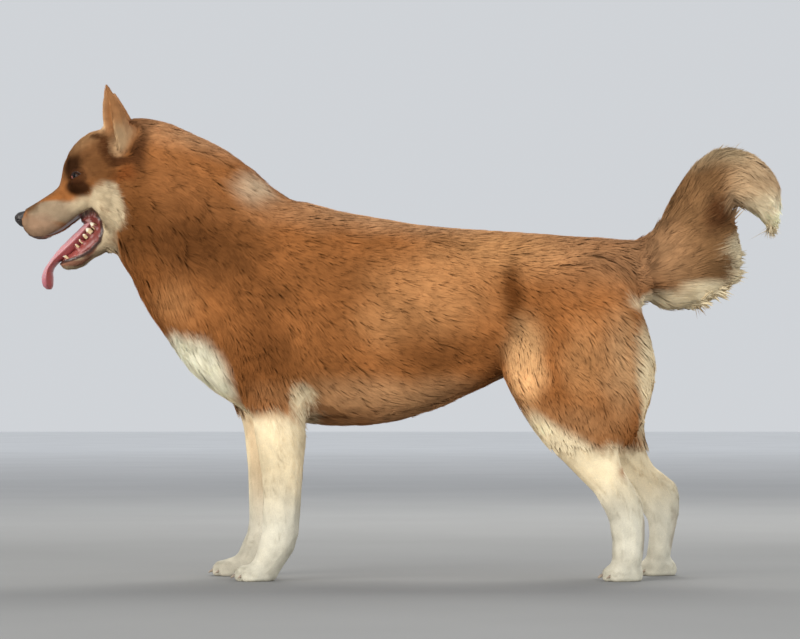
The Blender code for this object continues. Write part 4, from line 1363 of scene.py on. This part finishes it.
def grow_group(skin, group_name, allowed, finish):
    """Grows one group's tufts on the skin, as pieces under the limit on triangles."""
    growth = GROWTH[group_name]
    count, segments = growth.count, growth.segments
    group, _, _, length, width = coat_at(skin.centre)
    weight = np.where(group == GROUPS.index(group_name), allowed, 0) / (length * width) ** 0.8
    roots, normals, uv = scatter(skin, weight, count)
    _, lie, depth, length, width = coat_at(roots)
    lock, middles = locks(roots, growth.spread * MM)
    some = len(middles)
    turn = rng.normal(0, growth.lock_lie, (some, 3))[lock] + rng.normal(0, 0.06, (count, 3))
    flow = 0.16 * np.stack([waves(roots, 0.035, 40 + k) for k in range(3)], 1)
    lie = unit(lie + turn + flow)
    lie, short = by_features(roots, lie)
    length = length * short
    depth = depth * short
    width = width * (1 - 0.4 * (1 - short))
    vary = (rng.normal(1, 0.12, some)[lock] * rng.normal(1, 0.13, count)).clip(0.6, 1.35)
    length = length * vary
    vary = rng.normal(0.97, 0.05, some)[lock] * rng.uniform(0.88, 1.03, count)
    depth = depth * vary.clip(0.6, 1.12)
    path = tuft_paths(skin, roots, normals, lie, depth, length, segments, growth.lift)
    body = normals * (1 - smooth(0.3, 0.8, outwardness(lie, normals)))[:, None]
    lean = roots - middles[lock]
    lean -= normals * (lean * normals).sum(1, keepdims=True)
    in_locks(skin, path, lean * growth.pull, lock, some, length, depth, growth.fringe * MM)
    tint = (rng.normal(1, growth.lock_shade, some)[lock] * rng.normal(1, 0.04, count))[:, None]
    # Painted shade and light: each tuft is darker at its root and lighter at its tip.
    tones = np.linspace(*growth.tones, segments + 1)
    colours = np.stack([markings(p) * tint * tone for p, tone in zip(path, tones)], 1)
    colours = np.clip(colours, 0.003, 0.95)
    triangles = 6 * segments - 2
    pieces = math.ceil(count * triangles / MOST_TRIANGLES)
    pieces += pieces % 2 if pieces > 1 else 0
    behind = roots[:, 0] > np.median(roots[:, 0])
    order = np.argsort(roots[:, 1] + 10 * behind * (pieces > 2))
    width = width * rng.uniform(0.75, 1.2, count) * growth.cover
    seeds = rng.random(count)
    for number, chosen in enumerate(np.array_split(order, pieces), 1):
        mesh = tuft_mesh(
            f"coat_{group_name}_{number}", [p[chosen] for p in path], normals[chosen],
            width[chosen], growth.ridge, colours[chosen], uv[chosen], seeds[chosen], body[chosen],
        )
        mesh.materials.append(finish)
        dressed(link(mesh.name, mesh), "coat")


# ---------------------------------------------------------------- materials


class Nodes:
    """A short way to write a material's nodes."""

    def __init__(self, name):
        self.material = bpy.data.materials.new(name)
        self.material.use_nodes = True
        self.tree = self.material.node_tree
        self.shader = self.tree.nodes["Principled BSDF"]

    def add(self, kind, inputs=(), **settings):
        node = self.tree.nodes.new(kind)
        for key, value in settings.items():
            setattr(node, key, value)
        for key, value in dict(inputs).items():
            self.feed(node.inputs[key], value)
        return node

    def feed(self, socket, value):
        if isinstance(value, bpy.types.NodeSocket):
            self.tree.links.new(value, socket)
        else:
            socket.default_value = value

    def surface(self, **inputs):
        for key, value in inputs.items():
            self.feed(self.shader.inputs[key.replace("_", " ")], value)
        return self.material

    def noise(self, scale, detail, vector):
        inputs = {"Scale": scale, "Detail": detail, "Roughness": 0.6, "Vector": vector}
        return self.add("ShaderNodeTexNoise", inputs).outputs["Fac"]

    def vector(self, operation, *values):
        node = self.add("ShaderNodeVectorMath", operation=operation)
        for socket, value in zip(node.inputs, values):
            self.feed(socket, value)
        return node

    def place(self):
        return self.add("ShaderNodeNewGeometry").outputs["Position"]

    def bump(self, height, strength, distance):
        inputs = {"Height": height, "Strength": strength, "Distance": distance}
        return self.add("ShaderNodeBump", inputs).outputs["Normal"]

    def ramp(self, factor, stops):
        node = self.add("ShaderNodeValToRGB", {"Fac": factor})
        ramp = node.color_ramp
        while len(ramp.elements) < len(stops):
            ramp.elements.new(0.5)
        for element, (place, colour) in zip(ramp.elements, stops):
            element.position = place
            element.color = (*colour, 1)
        return node.outputs["Color"]

    def times(self, colour, factor):
        node = self.add("ShaderNodeMix", data_type="RGBA", blend_type="MULTIPLY")
        node.inputs["Factor"].default_value = 1.0
        self.feed(node.inputs[6], colour)
        self.feed(node.inputs[7], factor)
        return node.outputs[2]

    def attribute(self, name, kind="Vector"):
        return self.add("ShaderNodeAttribute", attribute_name=name).outputs[kind]

    def painted(self):
        return self.attribute(COLOUR, "Color")


def grey(low, high):
    return [(0.3, (low,) * 3), (0.7, (high,) * 3)]


FORM_SHARE = 0.95  # how much the coat is shaded by the body's form, not by each tuft's own faces
STRAND_STRETCH = (2.2, 0.5, 90.0)  # of the streaks across and along a tuft, and between tufts


def coat_finish():
    """Streaked tufts, shaded by the body's form where it agrees with the tuft's own face."""
    m = Nodes("coat_tufts")
    colour = m.painted()
    stretched = m.vector("MULTIPLY", m.attribute("strand"), STRAND_STRETCH).outputs[0]
    tone = m.ramp(m.noise(1.6, 2.0, stretched), grey(0.93, 1.06))
    tone = m.times(tone, m.ramp(m.noise(55.0, 2.0, m.place()), grey(0.94, 1.06)))
    form = m.attribute("form")
    own = m.add("ShaderNodeNewGeometry").outputs["True Normal"]
    agree = m.vector("DOT_PRODUCT", own, form).outputs["Value"]
    ends = {"From Min": -0.1, "From Max": 0.3, "To Min": 0.0, "To Max": FORM_SHARE}
    share = m.add("ShaderNodeMapRange", {"Value": agree, **ends}).outputs[0]
    blend = m.add("ShaderNodeMix", data_type="VECTOR")
    for place, value in ((0, share), (4, own), (5, form)):
        m.feed(blend.inputs[place], value)
    normal = m.vector("NORMALIZE", blend.outputs[1]).outputs[0]
    return m.surface(
        Base_Color=m.times(colour, tone), Roughness=0.85, Specular_IOR_Level=0.02, Normal=normal
    )


def painted_finish(name, roughness, grain, relief, **more):
    """A material that takes its colour from the mesh, with fine mottling and relief."""
    m = Nodes(name)
    colour = m.painted()
    fine = m.noise(grain, 4.0, m.place())
    tone = m.ramp(fine, grey(0.88, 1.08))
    return m.surface(
        Base_Color=m.times(colour, tone), Roughness=roughness,
        Normal=m.bump(fine, 0.5, relief), **more,
    )


def nose_finish():
    m = Nodes("nose_leather")
    colour = m.painted()
    inputs = {"Scale": 620.0, "Vector": m.place()}
    edge = m.add("ShaderNodeTexVoronoi", inputs, feature="DISTANCE_TO_EDGE").outputs["Distance"]
    pebbles = m.ramp(edge, [(0.0, (0, 0, 0)), (0.28, (1, 1, 1))])
    return m.surface(
        Base_Color=m.times(colour, m.ramp(edge, grey(0.8, 1.1))), Roughness=0.42,
        Specular_IOR_Level=0.5, Normal=m.bump(pebbles, 0.3, 0.0003),
    )


def skin_finish():
    m = Nodes("short_coat_and_skin")
    colour = m.painted()
    fine = m.noise(420.0, 3.0, m.place())
    patchy = m.noise(60.0, 3.0, m.place())
    tone = m.times(m.ramp(fine, grey(0.92, 1.06)), m.ramp(patchy, grey(0.96, 1.04)))
    return m.surface(
        Base_Color=m.times(colour, tone), Roughness=0.8, Specular_IOR_Level=0.03,
        Normal=m.bump(fine, 0.3, 0.0005),
    )


# ---------------------------------------------------------------- camera, light and floor


FLOOR_HALF = 30
# The floor's tone by distance from the dog, over the reach that follows.
FLOOR_SWEEP = [(0.0, (0.27, 0.27, 0.265)), (0.5, (0.62, 0.62, 0.62)), (1.0, (0.85, 0.86, 0.87))]
SWEEP_REACH = {"From Min": 1.5, "From Max": 16.0}
SKY = (0.84, 0.87, 0.91, 1)
SKY_STRENGTH = 0.75
# A lamp: name, place, power, size, colour.
LAMPS = [
    ("key", (-4.4, -5.6, 2.4), 310, 5.5, (1.0, 0.97, 0.92)),
    ("fill", (3.6, -4.6, 1.8), 145, 4.5, (0.96, 0.98, 1.0)),
    ("rim", (0.6, 2.6, 3.4), 110, 2.0, (1.0, 0.98, 0.94)),
    ("bounce", (-3.0, -3.0, 0.5), 85, 2.4, (1.0, 0.95, 0.88)),
]


def placed(name, data, place, aim):
    """A lamp or camera that looks along a direction."""
    item = bpy.data.objects.new(name, data)
    item.location = place
    item.rotation_euler = aim.to_track_quat("-Z", "Y").to_euler()
    bpy.context.scene.collection.objects.link(item)
    return item


def make_floor():
    bm = bmesh.new()
    bmesh.ops.create_grid(bm, x_segments=1, y_segments=1, size=FLOOR_HALF)
    mesh = bpy.data.meshes.new("floor")
    bm.to_mesh(mesh)
    bm.free()
    floor = link("floor", mesh)
    m = Nodes("floor")
    reach = m.vector("LENGTH", m.place()).outputs["Value"]
    share = m.add("ShaderNodeMapRange", {"Value": reach, **SWEEP_REACH}).outputs[0]
    tone = m.ramp(m.noise(1.5, 2.0, m.place()), grey(0.94, 1.0))
    tone = m.times(m.ramp(share, FLOOR_SWEEP), tone)
    mesh.materials.append(m.surface(Base_Color=tone, Roughness=0.9, Specular_IOR_Level=0.1))


def make_lights():
    low, high = CAD_BOX
    middle = Vector((0, 0, (low.z + high.z) / 2))
    world = bpy.data.worlds.new("studio")
    bpy.context.scene.world = world
    world.use_nodes = True
    sky = world.node_tree.nodes["Background"].inputs
    sky["Color"].default_value = SKY
    sky["Strength"].default_value = SKY_STRENGTH
    for name, place, power, size, colour in LAMPS:
        lamp = bpy.data.lights.new(name, "AREA")
        lamp.energy = power
        lamp.size = size
        lamp.color = colour
        placed(name, lamp, place, middle - Vector(place))
    bpy.context.scene.view_settings.view_transform = "Standard"


CAMERA = (0.0040, -5.5, 0.302)
CAMERA_AIM = (0.0040, 0.0, 0.4516)
VIEW_WIDTH = 1.40  # how wide the picture is at the middle of the dog


def make_camera():
    data = bpy.data.cameras.new("camera")
    data.sensor_width = 36
    aim = Vector(CAMERA_AIM) - Vector(CAMERA)
    data.lens = data.sensor_width * aim.length / VIEW_WIDTH
    data.clip_end = 100
    bpy.context.scene.camera = placed("camera", data, CAMERA, aim)


# ---------------------------------------------------------------- all of it


def dress_skin():
    """The finished skin, and its faces' bareness."""
    mesh, outline = make_skin()
    shade_smooth(mesh)
    item = link("skin", mesh)
    unwrapped(item)
    skin = Skin(item, outline)
    put_colours(item.data, skin_colours(skin.points, skin.normals, skin.bare))
    item.data.materials.append(skin_finish())
    item.data.materials.append(
        painted_finish("bare_skin", 0.30, 300.0, 0.0004, Specular_IOR_Level=0.5)
    )
    wetness = {"Specular_IOR_Level": 0.45, "Subsurface_Weight": 0.15, "Subsurface_Scale": 0.003}
    item.data.materials.append(painted_finish("wet_lining", 0.34, 160.0, 0.00015, **wetness))
    bare = skin.bare[skin.faces].mean(1)
    wet, _, _ = mouth_at(skin.centre, skin.face_normals)
    slots = np.where(wet > 0.5, 2, np.where(bare > 0.5, 1, 0)).astype(np.int32)
    item.data.polygons.foreach_set("material_index", slots)
    dressed(item, "coat", *FLESH)
    return skin, bare


def main():
    make_camera()
    make_floor()
    make_lights()
    skin, bare = dress_skin()
    gloss = {"Specular_IOR_Level": 0.05, "Coat_Weight": 0.16, "Coat_Roughness": 0.02}
    make_eyes(painted_finish("eye", 0.25, 500.0, 0.0, **gloss))
    make_nose(nose_finish())
    depth = {"Subsurface_Weight": 0.2, "Subsurface_Scale": 0.004}
    make_tongue(painted_finish("tongue", 0.30, 900.0, 0.0006, **depth))
    make_teeth(painted_finish("tooth", 0.22, 200.0, 0.0002))
    make_claws(painted_finish("claw", 0.35, 400.0, 0.0003))
    allowed = (skin.centre[:, 2] > BARE_SOLE) * (bare < 0.35)
    finish = coat_finish()
    for name in GROUPS:
        grow_group(skin, name, allowed, finish)


main()
